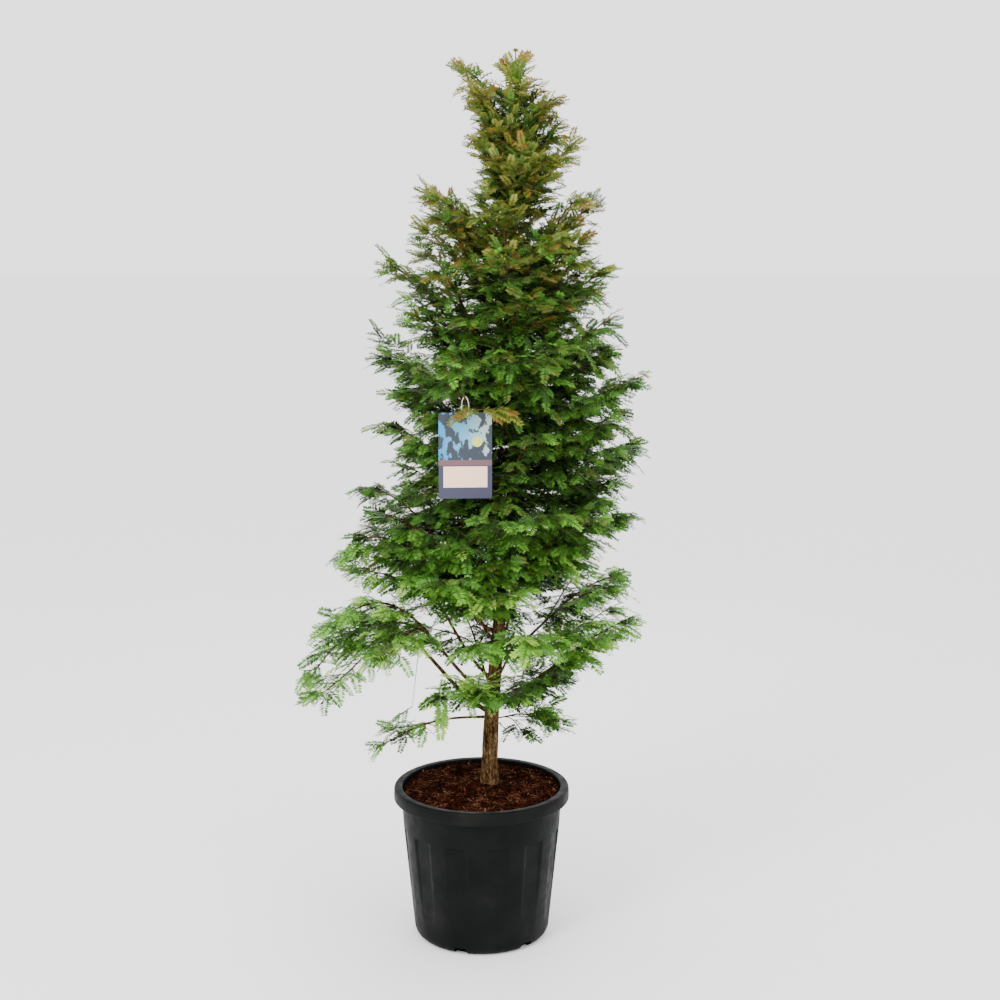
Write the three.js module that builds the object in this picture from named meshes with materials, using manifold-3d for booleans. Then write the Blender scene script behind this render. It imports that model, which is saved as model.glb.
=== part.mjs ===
// A young dawn redwood, about 2.7 m tall, in a black nursery container.
// One whole trunk runs from the mulch to the leader. Boughs leave it low down and rise steeply,
// and each bough or upper limb carries one mass of feathery, toothed sprays on twigs.
// Units are millimetres, +Z is up, +Y points to the back, and the origin is the middle of the
// container's flat underside.
import * as THREE from "three";
import { mergeVertices } from "three/addons/utils/BufferGeometryUtils.js";
import Module from "manifold-3d";

const wasm = await Module();
wasm.setup();

// ---------------------------------------------------------------- driving dimensions

const CLEARANCE = 0.3; // between two pieces that touch
const DEGREE = Math.PI / 180;

const POT = {
  height: 470,
  rimRadius: 270,
  rimDepth: 38, // the skirt of the rolled rim
  skirtWall: 4,
  rimInnerRadius: 243,
  collarHeight: 345, // above it the wall has no panels
  collarRadius: 240.5,
  wallRadiusUnderRim: 246,
  wall: 4.5,
  ribWall: 9.5, // between the panels, at the collar
  floor: 5,
  footRadius: 209, // where the side wall turns into the rounded foot
  footHeight: 30,
  baseRadius: 184,
  sides: 36,
};

const PANEL = {
  count: 12,
  firstAzimuth: 252, // degrees; 270 is the front
  width: 66,
  top: 345,
  topRadius: 235,
  bottom: 52,
  bottomRadius: 211.2,
};

const DRAIN = { count: 6, width: 40, height: 21, innerRadius: 180 };

const SOIL = { level: 453, seatRadius: 82, bump: 7, sides: 24 };

const TRUNK = {
  tip: 2520,
  baseRadius: 25.5,
  tipRadius: 2.6,
  taper: 1.22,
  flare: 5, // extra radius at the mulch
  flareHeight: 45,
  baseX: 24,
  baseY: 25,
  lean: 77, // how far the top stands to the right of the base
  leanHeight: 1200, // the height over which it leans
  sides: 10,
  steps: 18,
};

// The boughs and upper limbs. start: height where it leaves the trunk. tip: height of its end.
// azimuth: 0 right, 90 back, 180 left, 270 front. reach: from the trunk's axis to the tip.
// arch: how high its outer half bows up. bare: the share without leaves, which
// is a bough of its own; where it is 0 the mass grows straight from the trunk.
// spread: half the width of its foliage.
const LIMBS = [
  // left, from the hanging twig at the bottom to the tuft beside the leader
  { name: "left_hanging", start: 678, azimuth: 196, reach: 380, tip: 596, arch: 34, bare: 0.4, spread: 52 },
  { name: "left_low", start: 690, azimuth: 178, reach: 606, tip: 716, arch: 276, bare: 0.5, spread: 120 },
  { name: "left_sweeping", start: 742, azimuth: 194, reach: 525, tip: 955, arch: 200, bare: 0.45, spread: 120 },
  { name: "left_steep", start: 796, azimuth: 170, reach: 460, tip: 1148, arch: 190, bare: 0.45, spread: 120 },
  { name: "left_fifth", start: 945, azimuth: 196, reach: 445, tip: 1250, arch: 110, bare: 0.35, spread: 125 },
  { name: "left_sixth", start: 1010, azimuth: 166, reach: 420, tip: 1375, arch: 80, bare: 0.35, spread: 125 },
  { name: "left_seventh", start: 1215, azimuth: 190, reach: 345, tip: 1590, arch: 60, bare: 0, spread: 105 },
  { name: "left_eighth", start: 1440, azimuth: 172, reach: 405, tip: 1790, arch: 50, bare: 0, spread: 125 },
  { name: "left_ninth", start: 1745, azimuth: 188, reach: 385, tip: 2060, arch: 40, bare: 0, spread: 115 },
  { name: "left_tenth", start: 2000, azimuth: 174, reach: 276, tip: 2275, arch: 24, bare: 0, spread: 95 },
  { name: "left_eleventh", start: 2205, azimuth: 200, reach: 124, tip: 2420, arch: 8, bare: 0, spread: 70 },
  { name: "left_top_tuft", start: 2372, azimuth: 180, reach: 168, tip: 2638, arch: 0, bare: 0, spread: 60 },
  // right
  { name: "right_lowest", start: 672, azimuth: 340, reach: 205, tip: 662, arch: 30, bare: 0, spread: 60 },
  { name: "right_second", start: 706, azimuth: 22, reach: 228, tip: 800, arch: 22, bare: 0.4, spread: 85 },
  { name: "right_strong", start: 738, azimuth: 352, reach: 432, tip: 1008, arch: 20, bare: 0.5, spread: 115 },
  { name: "right_fourth", start: 868, azimuth: 14, reach: 405, tip: 1104, arch: 50, bare: 0.4, spread: 120 },
  { name: "right_fifth", start: 1022, azimuth: 345, reach: 375, tip: 1325, arch: 58, bare: 0.35, spread: 120 },
  { name: "right_sixth", start: 1195, azimuth: 10, reach: 410, tip: 1524, arch: 50, bare: 0, spread: 125 },
  { name: "right_seventh", start: 1440, azimuth: 349, reach: 360, tip: 1722, arch: 44, bare: 0, spread: 120 },
  { name: "right_eighth", start: 1640, azimuth: 12, reach: 305, tip: 1900, arch: 30, bare: 0, spread: 110 },
  { name: "right_ninth", start: 1835, azimuth: 350, reach: 280, tip: 2045, arch: 20, bare: 0, spread: 95 },
  { name: "right_tenth", start: 2020, azimuth: 8, reach: 240, tip: 2238, arch: 10, bare: 0, spread: 85 },
  { name: "right_eleventh", start: 2208, azimuth: 340, reach: 192, tip: 2412, arch: 8, bare: 0, spread: 75 },
  { name: "right_twelfth", start: 2374, azimuth: 14, reach: 128, tip: 2540, arch: 4, bare: 0, spread: 60 },
  // front
  { name: "front_first", start: 692, azimuth: 260, reach: 285, tip: 776, arch: 52, bare: 0, spread: 80 },
  { name: "front_second", start: 800, azimuth: 288, reach: 385, tip: 985, arch: 84, bare: 0.4, spread: 120 },
  { name: "front_third", start: 915, azimuth: 244, reach: 400, tip: 1160, arch: 92, bare: 0.4, spread: 120 },
  { name: "front_fourth", start: 1086, azimuth: 292, reach: 390, tip: 1362, arch: 76, bare: 0, spread: 125 },
  { name: "front_label", start: 1335, azimuth: 241, reach: 420, tip: 1790, arch: 88, bare: 0.75, spread: 100 },
  { name: "front_sixth", start: 1560, azimuth: 290, reach: 335, tip: 1845, arch: 46, bare: 0, spread: 115 },
  { name: "front_seventh", start: 1850, azimuth: 262, reach: 285, tip: 2100, arch: 30, bare: 0, spread: 100 },
  { name: "front_eighth", start: 2180, azimuth: 282, reach: 170, tip: 2390, arch: 14, bare: 0, spread: 80 },
  // back
  { name: "back_first", start: 760, azimuth: 112, reach: 370, tip: 935, arch: 84, bare: 0.4, spread: 92 },
  { name: "back_second", start: 890, azimuth: 68, reach: 395, tip: 1130, arch: 84, bare: 0.4, spread: 120 },
  { name: "back_third", start: 1100, azimuth: 112, reach: 390, tip: 1370, arch: 70, bare: 0, spread: 125 },
  { name: "back_fourth", start: 1300, azimuth: 66, reach: 370, tip: 1590, arch: 56, bare: 0, spread: 120 },
  { name: "back_fifth", start: 1625, azimuth: 108, reach: 325, tip: 1890, arch: 42, bare: 0, spread: 110 },
  { name: "back_sixth", start: 1930, azimuth: 72, reach: 250, tip: 2160, arch: 26, bare: 0, spread: 95 },
  { name: "back_seventh", start: 2270, azimuth: 104, reach: 150, tip: 2470, arch: 12, bare: 0, spread: 80 },
];

const LIMB = {
  leaveReach: 0.33, // it heads for a point this share of its reach away from the trunk,
  leaveRise: 0.14, // and this share of its crest's rise above its start
  startRadiusPerReach: 0.0118,
  tipRadius: 1.5,
  taper: 0.85,
  boughSides: 5,
  boughSteps: 5,
  stemSides: 3,
};

// Each mass: twigs leave the leafy part of its limb in a flattened spiral, and carry sprays.
const TWIG = {
  spacing: 100, // along the limb
  first: 0.28, // share of the limb before its first twig, at least
  stagger: 0.04, // a spray on the other side of the limb leaves it this share further back
  turn: 152, // degrees round the limb from one twig to the next
  flatness: 0.6,
  angle: 58, // from the limb, at the mass's foot
  tipAngle: 40, // and towards its tip
  radius: 2.3,
  tipRadius: 1.3,
};

const SPRAY = {
  length: 270, // on a limb of full size
  width: 0.66, // of its length
  thickness: 0.035,
  angle: 52, // from its twig, where it doesn't end it
  droop: 8,
  scales: [1, 0.84, 0.7, 0.58], // tried in turn
  leastRoll: 22, // its face is turned about its rib by this,
  mostRoll: 68, // up to this
  rootDepth: 2.2,
  most: 7, // in one mass
};

const LEADER = {
  length: 96,
  radius: 2.6,
  tipRadius: 1.4,
  sprays: 9,
  spray: 135,
  footRise: 28, // degrees above level
  tipRise: 58,
};

const MASS_GAP = 1.5; // between the pieces of two masses

const LABEL = {
  width: 152,
  height: 246,
  thickness: 1,
  cornerRadius: 6,
  holeRadius: 5.5,
  holeSides: 8,
  turn: 4, // degrees, about the vertical
  limb: "front_label",
  along: 0.71, // where on its bough it hangs
};

const TIE = { radius: 12, wire: 1.2, stretch: 2.4, sides: 6, steps: 16 };

// ---------------------------------------------------------------- seeded numbers and solids

// The minimal-standard generator, so that the same seed grows the same twigs everywhere.
function seeded(seed) {
  const modulus = 2147483647;
  let state = seed;
  return () => {
    state = (state * 16807) % modulus;
    return state / modulus;
  };
}

function solidOf(geometry) {
  const bare = geometry.clone();
  bare.deleteAttribute("normal");
  bare.deleteAttribute("uv");
  const merged = mergeVertices(bare, 1e-4);
  return new wasm.Manifold(
    new wasm.Mesh({
      numProp: 3,
      vertProperties: new Float32Array(merged.attributes.position.array),
      triVerts: new Uint32Array(merged.index.array),
    }),
  );
}

function geometryOf(solid) {
  const mesh = solid.getMesh();
  const positions = new Float32Array(mesh.numVert * 3);
  for (let i = 0; i < mesh.numVert; i++) {
    const from = i * mesh.numProp;
    positions.set(mesh.vertProperties.subarray(from, from + 3), i * 3);
  }
  const geometry = new THREE.BufferGeometry();
  geometry.setAttribute("position", new THREE.BufferAttribute(positions, 3));
  geometry.setIndex(new THREE.BufferAttribute(new Uint32Array(mesh.triVerts), 1));
  geometry.computeVertexNormals();
  return geometry;
}

// The largest closed piece, with any loose scrap dropped and any sealed hollow filled.
function largestPiece(solid) {
  const pieces = solid.decompose();
  return pieces.reduce((a, b) => (b.volume() > a.volume() ? b : a));
}

// A cylinder bent so that its ring at share t of the length is placed by place(t, cos, sin).
function bentCylinder(sides, steps, place) {
  const geometry = new THREE.CylinderGeometry(1, 1, 1, sides, steps);
  const position = geometry.attributes.position;
  for (let i = 0; i < position.count; i++) {
    const p = place(position.getY(i) + 0.5, position.getX(i), position.getZ(i));
    position.setXYZ(i, p.x, p.y, p.z);
  }
  return geometry;
}

// ---------------------------------------------------------------- trunk

const trunkFoot = SOIL.level + CLEARANCE;

function trunkAxis(z) {
  const u = THREE.MathUtils.clamp((z - trunkFoot) / TRUNK.leanHeight, 0, 1);
  const leaned = u * u * (3 - 2 * u);
  return new THREE.Vector3(TRUNK.baseX + TRUNK.lean * leaned, TRUNK.baseY * (1 - leaned), z);
}

function trunkRadius(z) {
  const u = THREE.MathUtils.clamp((z - trunkFoot) / (TRUNK.tip - trunkFoot), 0, 1);
  const flare = TRUNK.flare * Math.exp(-(z - trunkFoot) / TRUNK.flareHeight);
  return TRUNK.tipRadius + (TRUNK.baseRadius - TRUNK.tipRadius) * (1 - u) ** TRUNK.taper + flare;
}

// Steps are closer together at the root flare. grow widens the trunk, for cutting limbs clear.
function trunkGeometry(grow) {
  return bentCylinder(TRUNK.sides, TRUNK.steps, (t, a, b) => {
    const z = trunkFoot + (TRUNK.tip + grow - trunkFoot) * t ** 1.25;
    const r = trunkRadius(z) + grow;
    return trunkAxis(z).add(new THREE.Vector3(b * r, a * r, 0));
  });
}

// ---------------------------------------------------------------- limbs

// A limb lies in the upright plane at its azimuth. It leaves the trunk low, turns up steeply,
// and bows out again towards its tip.
function limbPath(limb) {
  const from = trunkAxis(limb.start);
  const angle = limb.azimuth * DEGREE;
  const out = new THREE.Vector3(Math.cos(angle), Math.sin(angle), 0);
  const to = from.clone().addScaledVector(out, limb.reach);
  to.z = limb.tip;
  const crest = from.clone().addScaledVector(out, limb.reach / 2);
  crest.z = (limb.start + limb.tip) / 2 + 2 * limb.arch;
  const leave = from.clone().addScaledVector(out, limb.reach * LIMB.leaveReach);
  leave.z += (crest.z - limb.start) * LIMB.leaveRise;
  const curve = new THREE.CubicBezierCurve3(from, leave, crest, to);
  const side = new THREE.Vector3(-out.y, out.x, 0);
  const baseRadius = limb.reach * LIMB.startRadiusPerReach;
  const sprayScale = 0.55 + (0.45 * limb.spread) / 120;
  const tipShare = (0.8 * SPRAY.length * sprayScale) / curve.getLength();
  return {
    side,
    sprayScale,
    stemStart: limb.bare === 0 ? 0 : limb.bare + CLEARANCE / limb.reach,
    stemEnd: Math.max(limb.bare + 0.08, 1 - tipShare), // where its last spray takes over
    point: (t) => curve.getPoint(t),
    tangent: (t) => curve.getTangent(t),
    normal: (t) => curve.getTangent(t).cross(side).normalize(),
    radius: (t) => LIMB.tipRadius + (baseRadius - LIMB.tipRadius) * (1 - t) ** LIMB.taper,
  };
}

const paths = new Map(LIMBS.map((limb) => [limb.name, limbPath(limb)]));

function limbGeometry(path, from, to, sides, steps) {
  return bentCylinder(sides, steps, (share, a, b) => {
    const t = from + (to - from) * share;
    const r = path.radius(t);
    return path.point(t).addScaledVector(path.normal(t), b * r).addScaledVector(path.side, -a * r);
  });
}

function stemOf(path) {
  return solidOf(limbGeometry(path, path.stemStart, path.stemEnd, LIMB.stemSides, 3));
}

// A straight, three-sided twig.
function twigGeometry(root, direction, length) {
  const side = new THREE.Vector3(0, 0, 1).cross(direction).normalize();
  const up = direction.clone().cross(side);
  return bentCylinder(3, 1, (t, a, b) => {
    const r = THREE.MathUtils.lerp(TWIG.radius, TWIG.tipRadius, t);
    return root
      .clone()
      .addScaledVector(direction, length * t)
      .addScaledVector(up, b * r)
      .addScaledVector(side, -a * r);
  });
}

// ---------------------------------------------------------------- sprays

// A spray's outline as shares of its length and half width: two teeth a side that sweep forward.
const SPRAY_OUTLINE = [
  [0, 0],
  [0.36, 1],
  [0.5, 0.46],
  [0.73, 0.8],
  [1, 0],
  [0.73, -0.8],
  [0.5, -0.46],
  [0.36, -1],
];
const SPRAY_CENTRE = 0.48;

// A spray has a root, a direction, a length, and the normal and the side vector of its face.
function makeSpray(root, direction, normal, length, roll) {
  const side = normal.clone().cross(direction).normalize().applyAxisAngle(direction, roll * DEGREE);
  const sunk = root.clone().addScaledVector(direction, -SPRAY.rootDepth);
  const spray = { root: sunk, direction, side, normal: direction.clone().cross(side), length };
  const at = (along, aside, above) =>
    sunk
      .clone()
      .addScaledVector(direction, along * length)
      .addScaledVector(side, (aside * length * SPRAY.width) / 2)
      .addScaledVector(spray.normal, above);
  const half = (length * SPRAY.thickness) / 2;
  spray.rim = SPRAY_OUTLINE.map(([along, aside]) => at(along, aside, 0));
  spray.edges = spray.rim.map((corner, i) => new THREE.Line3(corner, spray.rim[(i + 1) % spray.rim.length]));
  spray.top = at(SPRAY_CENTRE, 0, half);
  spray.bottom = at(SPRAY_CENTRE, 0, -half);
  return spray;
}

function sprayGeometry(spray) {
  const { rim } = spray;
  const points = [...rim, spray.top, spray.bottom];
  const faces = rim.flatMap((_, i) => {
    const next = (i + 1) % rim.length;
    return [next, i, rim.length, i, next, rim.length + 1];
  });
  const geometry = new THREE.BufferGeometry().setFromPoints(points);
  geometry.setIndex(faces);
  return geometry;
}

// ---------------------------------------------------------------- keeping clear

// What new twigs and sprays keep clear of, unless it belongs to the same limb.
const obstacles = [];

function boxOf(solid) {
  const { min, max } = solid.boundingBox();
  return new THREE.Box3(new THREE.Vector3(...min), new THREE.Vector3(...max));
}

function addObstacle(solid, owner) {
  obstacles.push({ solid, owner, box: boxOf(solid).expandByScalar(MASS_GAP) });
}

function isClear(solid, owner) {
  const box = boxOf(solid);
  return obstacles.every(
    (other) =>
      other.owner === owner ||
      !box.intersectsBox(other.box) ||
      solid.minGap(other.solid, MASS_GAP) >= MASS_GAP,
  );
}

// ---------------------------------------------------------------- masses

// Turns a direction by an angle towards a side, and then down by droop, both in degrees.
function turned(direction, side, angle, droop) {
  const flat = direction
    .clone()
    .multiplyScalar(Math.cos(angle * DEGREE))
    .addScaledVector(side, Math.sin(angle * DEGREE));
  flat.z -= Math.sin(droop * DEGREE);
  return flat.normalize();
}

// Whether a point in the plane of a spray's face lies on it, clear of its root.
function onFace(spray, point) {
  const from = point.clone().sub(spray.root);
  const along = from.dot(spray.direction) / spray.length;
  const aside = Math.abs(from.dot(spray.side)) / (spray.length * SPRAY.width * 0.5);
  return along > 0.1 && aside < Math.min(1, along / 0.36, (1 - along) / 0.22);
}

// Whether a straight line goes through a spray's face, or a point of it lies in the blade.
function pierces(line, spray) {
  const start = line.start.clone().sub(spray.root).dot(spray.normal);
  const end = line.end.clone().sub(spray.root).dot(spray.normal);
  const skin = 3;
  if (Math.abs(start) < skin && onFace(spray, line.start)) return true;
  return start * end < 0 && onFace(spray, line.at(start / (start - end), new THREE.Vector3()));
}

function sprayIsFree(spray, placed, twigs) {
  if (twigs.some((line) => pierces(line, spray))) return false;
  return !placed.some(
    (other) =>
      spray.edges.some((edge) => pierces(edge, other)) || other.edges.some((edge) => pierces(edge, spray)),
  );
}

function growMass(limb, index) {
  const path = paths.get(limb.name);
  const random = seeded(8590 + index * 104729);
  const { stemEnd } = path;
  const fullLength = SPRAY.length * path.sprayScale;
  const pieces = [stemOf(path)];
  const twigs = [];
  const placed = [];

  const keep = (solid) => {
    pieces.push(solid);
    addObstacle(solid, limb.name);
  };

  // Adds the largest spray that fits at this root, at one of a few rolls, if one does.
  const placeSpray = (root, direction, normal, share) => {
    if (placed.length >= SPRAY.most) return;
    const turnedLeft = random() < 0.5 ? 1 : -1;
    const roll = turnedLeft * THREE.MathUtils.lerp(SPRAY.leastRoll, SPRAY.mostRoll, random());
    for (const scale of SPRAY.scales) {
      for (const turn of [roll, -roll, roll / 3]) {
        const spray = makeSpray(root, direction, normal, fullLength * share * scale, turn);
        if (!sprayIsFree(spray, placed, twigs)) continue;
        const solid = solidOf(sprayGeometry(spray));
        if (isClear(solid, limb.name)) {
          placed.push(spray);
          keep(solid);
          return;
        }
      }
    }
  };

  const first = Math.min(Math.max(limb.bare + 0.05, TWIG.first), stemEnd - 0.05);
  const leafyLength = path.point(first).distanceTo(path.point(stemEnd));
  const count = Math.max(2, Math.round(leafyLength / (TWIG.spacing * path.sprayScale)));
  placeSpray(path.point(stemEnd), path.tangent((1 + stemEnd) / 2), path.normal(stemEnd), 1);
  for (let k = count - 1; k >= 0; k--) {
    const share = count > 1 ? k / (count - 1) : 0;
    const t = first + (stemEnd - 0.03 - first) * share;
    const around = (k * TWIG.turn + 30 * (random() - 0.5)) * DEGREE;
    const tangent = path.tangent(t);
    const normal = path.normal(t);
    const outward = path.side
      .clone()
      .multiplyScalar(Math.cos(around))
      .addScaledVector(normal, TWIG.flatness * Math.sin(around))
      .normalize();
    const angle = THREE.MathUtils.lerp(TWIG.angle, TWIG.tipAngle, share) + 12 * (random() - 0.5);
    const direction = turned(tangent, outward, angle, 0);
    const length = limb.spread * (0.62 - 0.3 * share) * (0.85 + 0.3 * random());
    const root = path.point(t);
    const twig = new THREE.Line3(root, root.clone().addScaledVector(direction, length));
    const twigSolid = solidOf(twigGeometry(root, direction, length));
    if (isClear(twigSolid, limb.name) && !placed.some((spray) => pierces(twig, spray))) {
      keep(twigSolid);
      twigs.push(twig);
      placeSpray(twig.end, turned(direction, outward, 4, SPRAY.droop), normal, 1);
      const across = path.side.clone().multiplyScalar(random() < 0.5 ? 1 : -1);
      const inner = twig.at(0.5, new THREE.Vector3());
      placeSpray(inner, turned(direction, across, SPRAY.angle, SPRAY.droop), normal, 0.85);
    }
    const opposite = outward.clone().negate();
    const behind = path.point(Math.max(t - TWIG.stagger, limb.bare + 0.03));
    placeSpray(behind, turned(tangent, opposite, angle, SPRAY.droop), normal, 0.9);
  }
  return largestPiece(wasm.Manifold.union(pieces));
}

// ---------------------------------------------------------------- leader

// The soft shoot that carries on from the trunk's tip, with sprays in a spiral all round it.
function growLeader() {
  const foot = trunkAxis(TRUNK.tip);
  foot.z += CLEARANCE;
  const random = seeded(2129);
  const up = new THREE.Vector3(0, 0, 1);
  const stem = bentCylinder(4, 2, (t, a, b) => {
    const r = THREE.MathUtils.lerp(LEADER.radius, LEADER.tipRadius, t);
    return foot.clone().add(new THREE.Vector3(b * r, a * r, LEADER.length * t));
  });
  const pieces = [solidOf(stem)];
  const placed = [];
  for (let i = 0; i < LEADER.sprays; i++) {
    const share = i / (LEADER.sprays - 1);
    const angle = (i * 137.5 + 20) * DEGREE;
    const out = new THREE.Vector3(Math.cos(angle), Math.sin(angle), 0);
    const side = new THREE.Vector3(-out.y, out.x, 0);
    const rise = THREE.MathUtils.lerp(LEADER.footRise, LEADER.tipRise, share) * DEGREE;
    const direction = out.clone().multiplyScalar(Math.cos(rise)).addScaledVector(up, Math.sin(rise));
    const root = foot.clone().addScaledVector(up, LEADER.length * (0.12 + 0.85 * share));
    const length = LEADER.spray * (1 - 0.35 * share) * (0.9 + 0.2 * random());
    const roll = SPRAY.mostRoll * (2 * random() - 1);
    const spray = makeSpray(root, direction, direction.clone().cross(side), length, roll);
    const solid = solidOf(sprayGeometry(spray));
    if (!sprayIsFree(spray, placed, []) || !isClear(solid, "leader")) continue;
    placed.push(spray);
    pieces.push(solid);
  }
  return largestPiece(wasm.Manifold.union(pieces));
}

// ---------------------------------------------------------------- container

function revolve(outline, sides) {
  const geometry = new THREE.LatheGeometry(outline, sides);
  return geometry.rotateX(Math.PI / 2);
}

// The half section of the shell: floor, rounded foot, side wall, rolled rim and its skirt.
function potOutline() {
  const skirtFoot = POT.height - POT.rimDepth;
  const at = (radius, height) => new THREE.Vector2(radius, height);
  const foot = new THREE.Vector2(POT.footRadius - POT.baseRadius, POT.footHeight);
  const rounded = [1, 2, 3].map((i) => {
    const angle = (i / 4) * 90 * DEGREE;
    return at(POT.baseRadius + foot.x * Math.sin(angle), foot.y * (1 - Math.cos(angle)));
  });
  const skirtInner = POT.rimRadius - POT.skirtWall;
  return [
    at(0, 0),
    at(POT.baseRadius, 0),
    ...rounded,
    at(POT.footRadius, POT.footHeight),
    at(POT.collarRadius, POT.collarHeight),
    at(POT.wallRadiusUnderRim, skirtFoot),
    at(POT.wallRadiusUnderRim + 1, POT.height - 8),
    at(skirtInner, POT.height - 8),
    at(skirtInner, skirtFoot),
    at(POT.rimRadius, skirtFoot),
    at(POT.rimRadius, POT.height - 8),
    at(POT.rimRadius - 8, POT.height),
    at(POT.rimInnerRadius, POT.height),
    at(POT.wallRadiusUnderRim - POT.wall, skirtFoot),
    at(POT.collarRadius - POT.ribWall, POT.collarHeight),
    at(POT.footRadius - POT.wall, POT.footHeight),
    at(POT.baseRadius, POT.floor),
    at(0, POT.floor),
  ];
}

// A flat slab to cut with: a radial section, extruded by width across the azimuth.
function radialCutter(section, width, azimuth) {
  const shape = new THREE.Shape(section.map(([radius, height]) => new THREE.Vector2(radius, height)));
  return new THREE.ExtrudeGeometry(shape, { depth: width, bevelEnabled: false })
    .translate(0, 0, -width / 2)
    .rotateX(Math.PI / 2)
    .rotateZ(azimuth * DEGREE);
}

function makePot() {
  const outside = POT.rimRadius - POT.skirtWall - 8;
  const cutters = [];
  for (let i = 0; i < PANEL.count; i++) {
    const section = [
      [PANEL.bottomRadius, PANEL.bottom],
      [outside, PANEL.bottom],
      [outside, PANEL.top],
      [PANEL.topRadius, PANEL.top],
    ];
    const azimuth = PANEL.firstAzimuth + (360 / PANEL.count) * i;
    cutters.push(radialCutter(section, PANEL.width, azimuth));
  }
  for (let i = 0; i < DRAIN.count; i++) {
    const section = [
      [DRAIN.innerRadius, -5],
      [outside, -5],
      [outside, DRAIN.height],
      [DRAIN.innerRadius, DRAIN.height],
    ];
    const azimuth = PANEL.firstAzimuth + (360 / DRAIN.count) * i;
    cutters.push(radialCutter(section, DRAIN.width, azimuth));
  }
  const shell = solidOf(revolve(potOutline(), POT.sides));
  return shell.subtract(wasm.Manifold.union(cutters.map(solidOf)));
}

// ---------------------------------------------------------------- root ball

// The filled inside of the container, with a lumpy mulch surface that is level round the trunk.
function makeSoil() {
  const fit = Math.cos(Math.PI / POT.sides);
  const inner = (radius) => radius * fit - 2 * CLEARANCE;
  const wallTop = SOIL.level - 12;
  const wallRadius = POT.wallRadiusUnderRim - POT.wall;
  const at = (radius, height) => new THREE.Vector2(radius, height);
  const rings = [0.88, 0.7, 0.52].map((share) => at(inner(wallRadius) * share, SOIL.level));
  const drainSide = DRAIN.innerRadius - 2;
  const outline = [
    at(0, POT.floor + CLEARANCE),
    at(drainSide, POT.floor + CLEARANCE),
    at(drainSide, DRAIN.height + 3),
    at(inner(POT.footRadius - POT.wall) - 2, POT.footHeight + 4),
    at(inner(POT.collarRadius - POT.ribWall), POT.collarHeight),
    at(inner(wallRadius), wallTop),
    ...rings,
    at(SOIL.seatRadius, SOIL.level),
    at(0, SOIL.level),
  ];
  const geometry = revolve(outline, SOIL.sides);
  const position = geometry.attributes.position;
  for (let i = 0; i < position.count; i++) {
    const radius = Math.hypot(position.getX(i), position.getY(i));
    const onTop = position.getZ(i) > SOIL.level - 1 && radius > SOIL.seatRadius + 1;
    if (!onTop) continue;
    const angle = Math.atan2(position.getY(i), position.getX(i));
    const wave = Math.sin(5 * angle + radius / 31) + Math.sin(9 * angle - radius / 17);
    position.setZ(i, SOIL.level + (SOIL.bump / 2) * wave);
  }
  return solidOf(geometry);
}

// ---------------------------------------------------------------- hanging label

// The tie hangs over its bough, and the card's hole hangs on the tie. A bough is straight
// between two of its rings, so its top line is too.
function placeLabel() {
  const limb = LIMBS.find((each) => each.name === LABEL.limb);
  const path = limbPath(limb);
  const top = (t) => path.point(t).addScaledVector(path.normal(t), path.radius(t));
  const step = limb.bare / LIMB.boughSteps;
  const ring = Math.floor(LABEL.along / step);
  const tieCentre = top(ring * step).lerp(top((ring + 1) * step), LABEL.along / step - ring);
  const inside = (TIE.radius - TIE.wire) * TIE.stretch;
  tieCentre.z += CLEARANCE - inside;
  const hole = tieCentre.clone();
  hole.z += 2.6 * CLEARANCE - inside - LABEL.holeRadius * Math.cos(Math.PI / LABEL.holeSides);
  const holeFromTop = 14;
  const centre = hole.clone();
  centre.z += holeFromTop - LABEL.height / 2;
  return { tieCentre, centre, holeFromTop, azimuth: limb.azimuth };
}

const labelPlace = placeLabel();

function makeTie() {
  return new THREE.TorusGeometry(TIE.radius, TIE.wire, TIE.sides, TIE.steps)
    .scale(1, TIE.stretch, 1)
    .rotateX(Math.PI / 2)
    .rotateZ((labelPlace.azimuth - 270) * DEGREE)
    .translate(labelPlace.tieCentre.x, labelPlace.tieCentre.y, labelPlace.tieCentre.z);
}

function makeCard() {
  const w = LABEL.width / 2;
  const h = LABEL.height / 2;
  const r = LABEL.cornerRadius;
  const card = new THREE.Shape();
  card.moveTo(-w + r, -h);
  card.lineTo(w - r, -h);
  card.absarc(w - r, -h + r, r, -Math.PI / 2, 0);
  card.lineTo(w, h - r);
  card.absarc(w - r, h - r, r, 0, Math.PI / 2);
  card.lineTo(-w + r, h);
  card.absarc(-w + r, h - r, r, Math.PI / 2, Math.PI);
  card.lineTo(-w, -h + r);
  card.absarc(-w + r, -h + r, r, Math.PI, 1.5 * Math.PI);
  const hole = new THREE.Path();
  const firstCorner = Math.PI / LABEL.holeSides;
  hole.absarc(0, h - labelPlace.holeFromTop, LABEL.holeRadius, firstCorner, firstCorner + 2 * Math.PI);
  card.holes.push(hole);
  const { thickness } = LABEL;
  const curveSegments = LABEL.holeSides / 2;
  return new THREE.ExtrudeGeometry(card, { depth: thickness, bevelEnabled: false, curveSegments })
    .translate(0, 0, -thickness / 2)
    .rotateX(Math.PI / 2)
    .rotateZ(LABEL.turn * DEGREE)
    .translate(labelPlace.centre.x, labelPlace.centre.y, labelPlace.centre.z);
}

// ---------------------------------------------------------------- assembly

const paint = (color, roughness) => new THREE.MeshStandardMaterial({ color, roughness, metalness: 0 });
const blackPlastic = paint(0x2a2d2e, 0.55);
const mulch = paint(0x4a2417, 0.95);
const bark = paint(0x5a4029, 0.9);
const lowFoliage = paint(0x4f9a22, 0.6);
const highFoliage = paint(0x5c7424, 0.6);
const cardFace = paint(0x8fb6c8, 0.45);
const tiePlastic = paint(0xe6e6e0, 0.5);

const tree = new THREE.Group();

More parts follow.
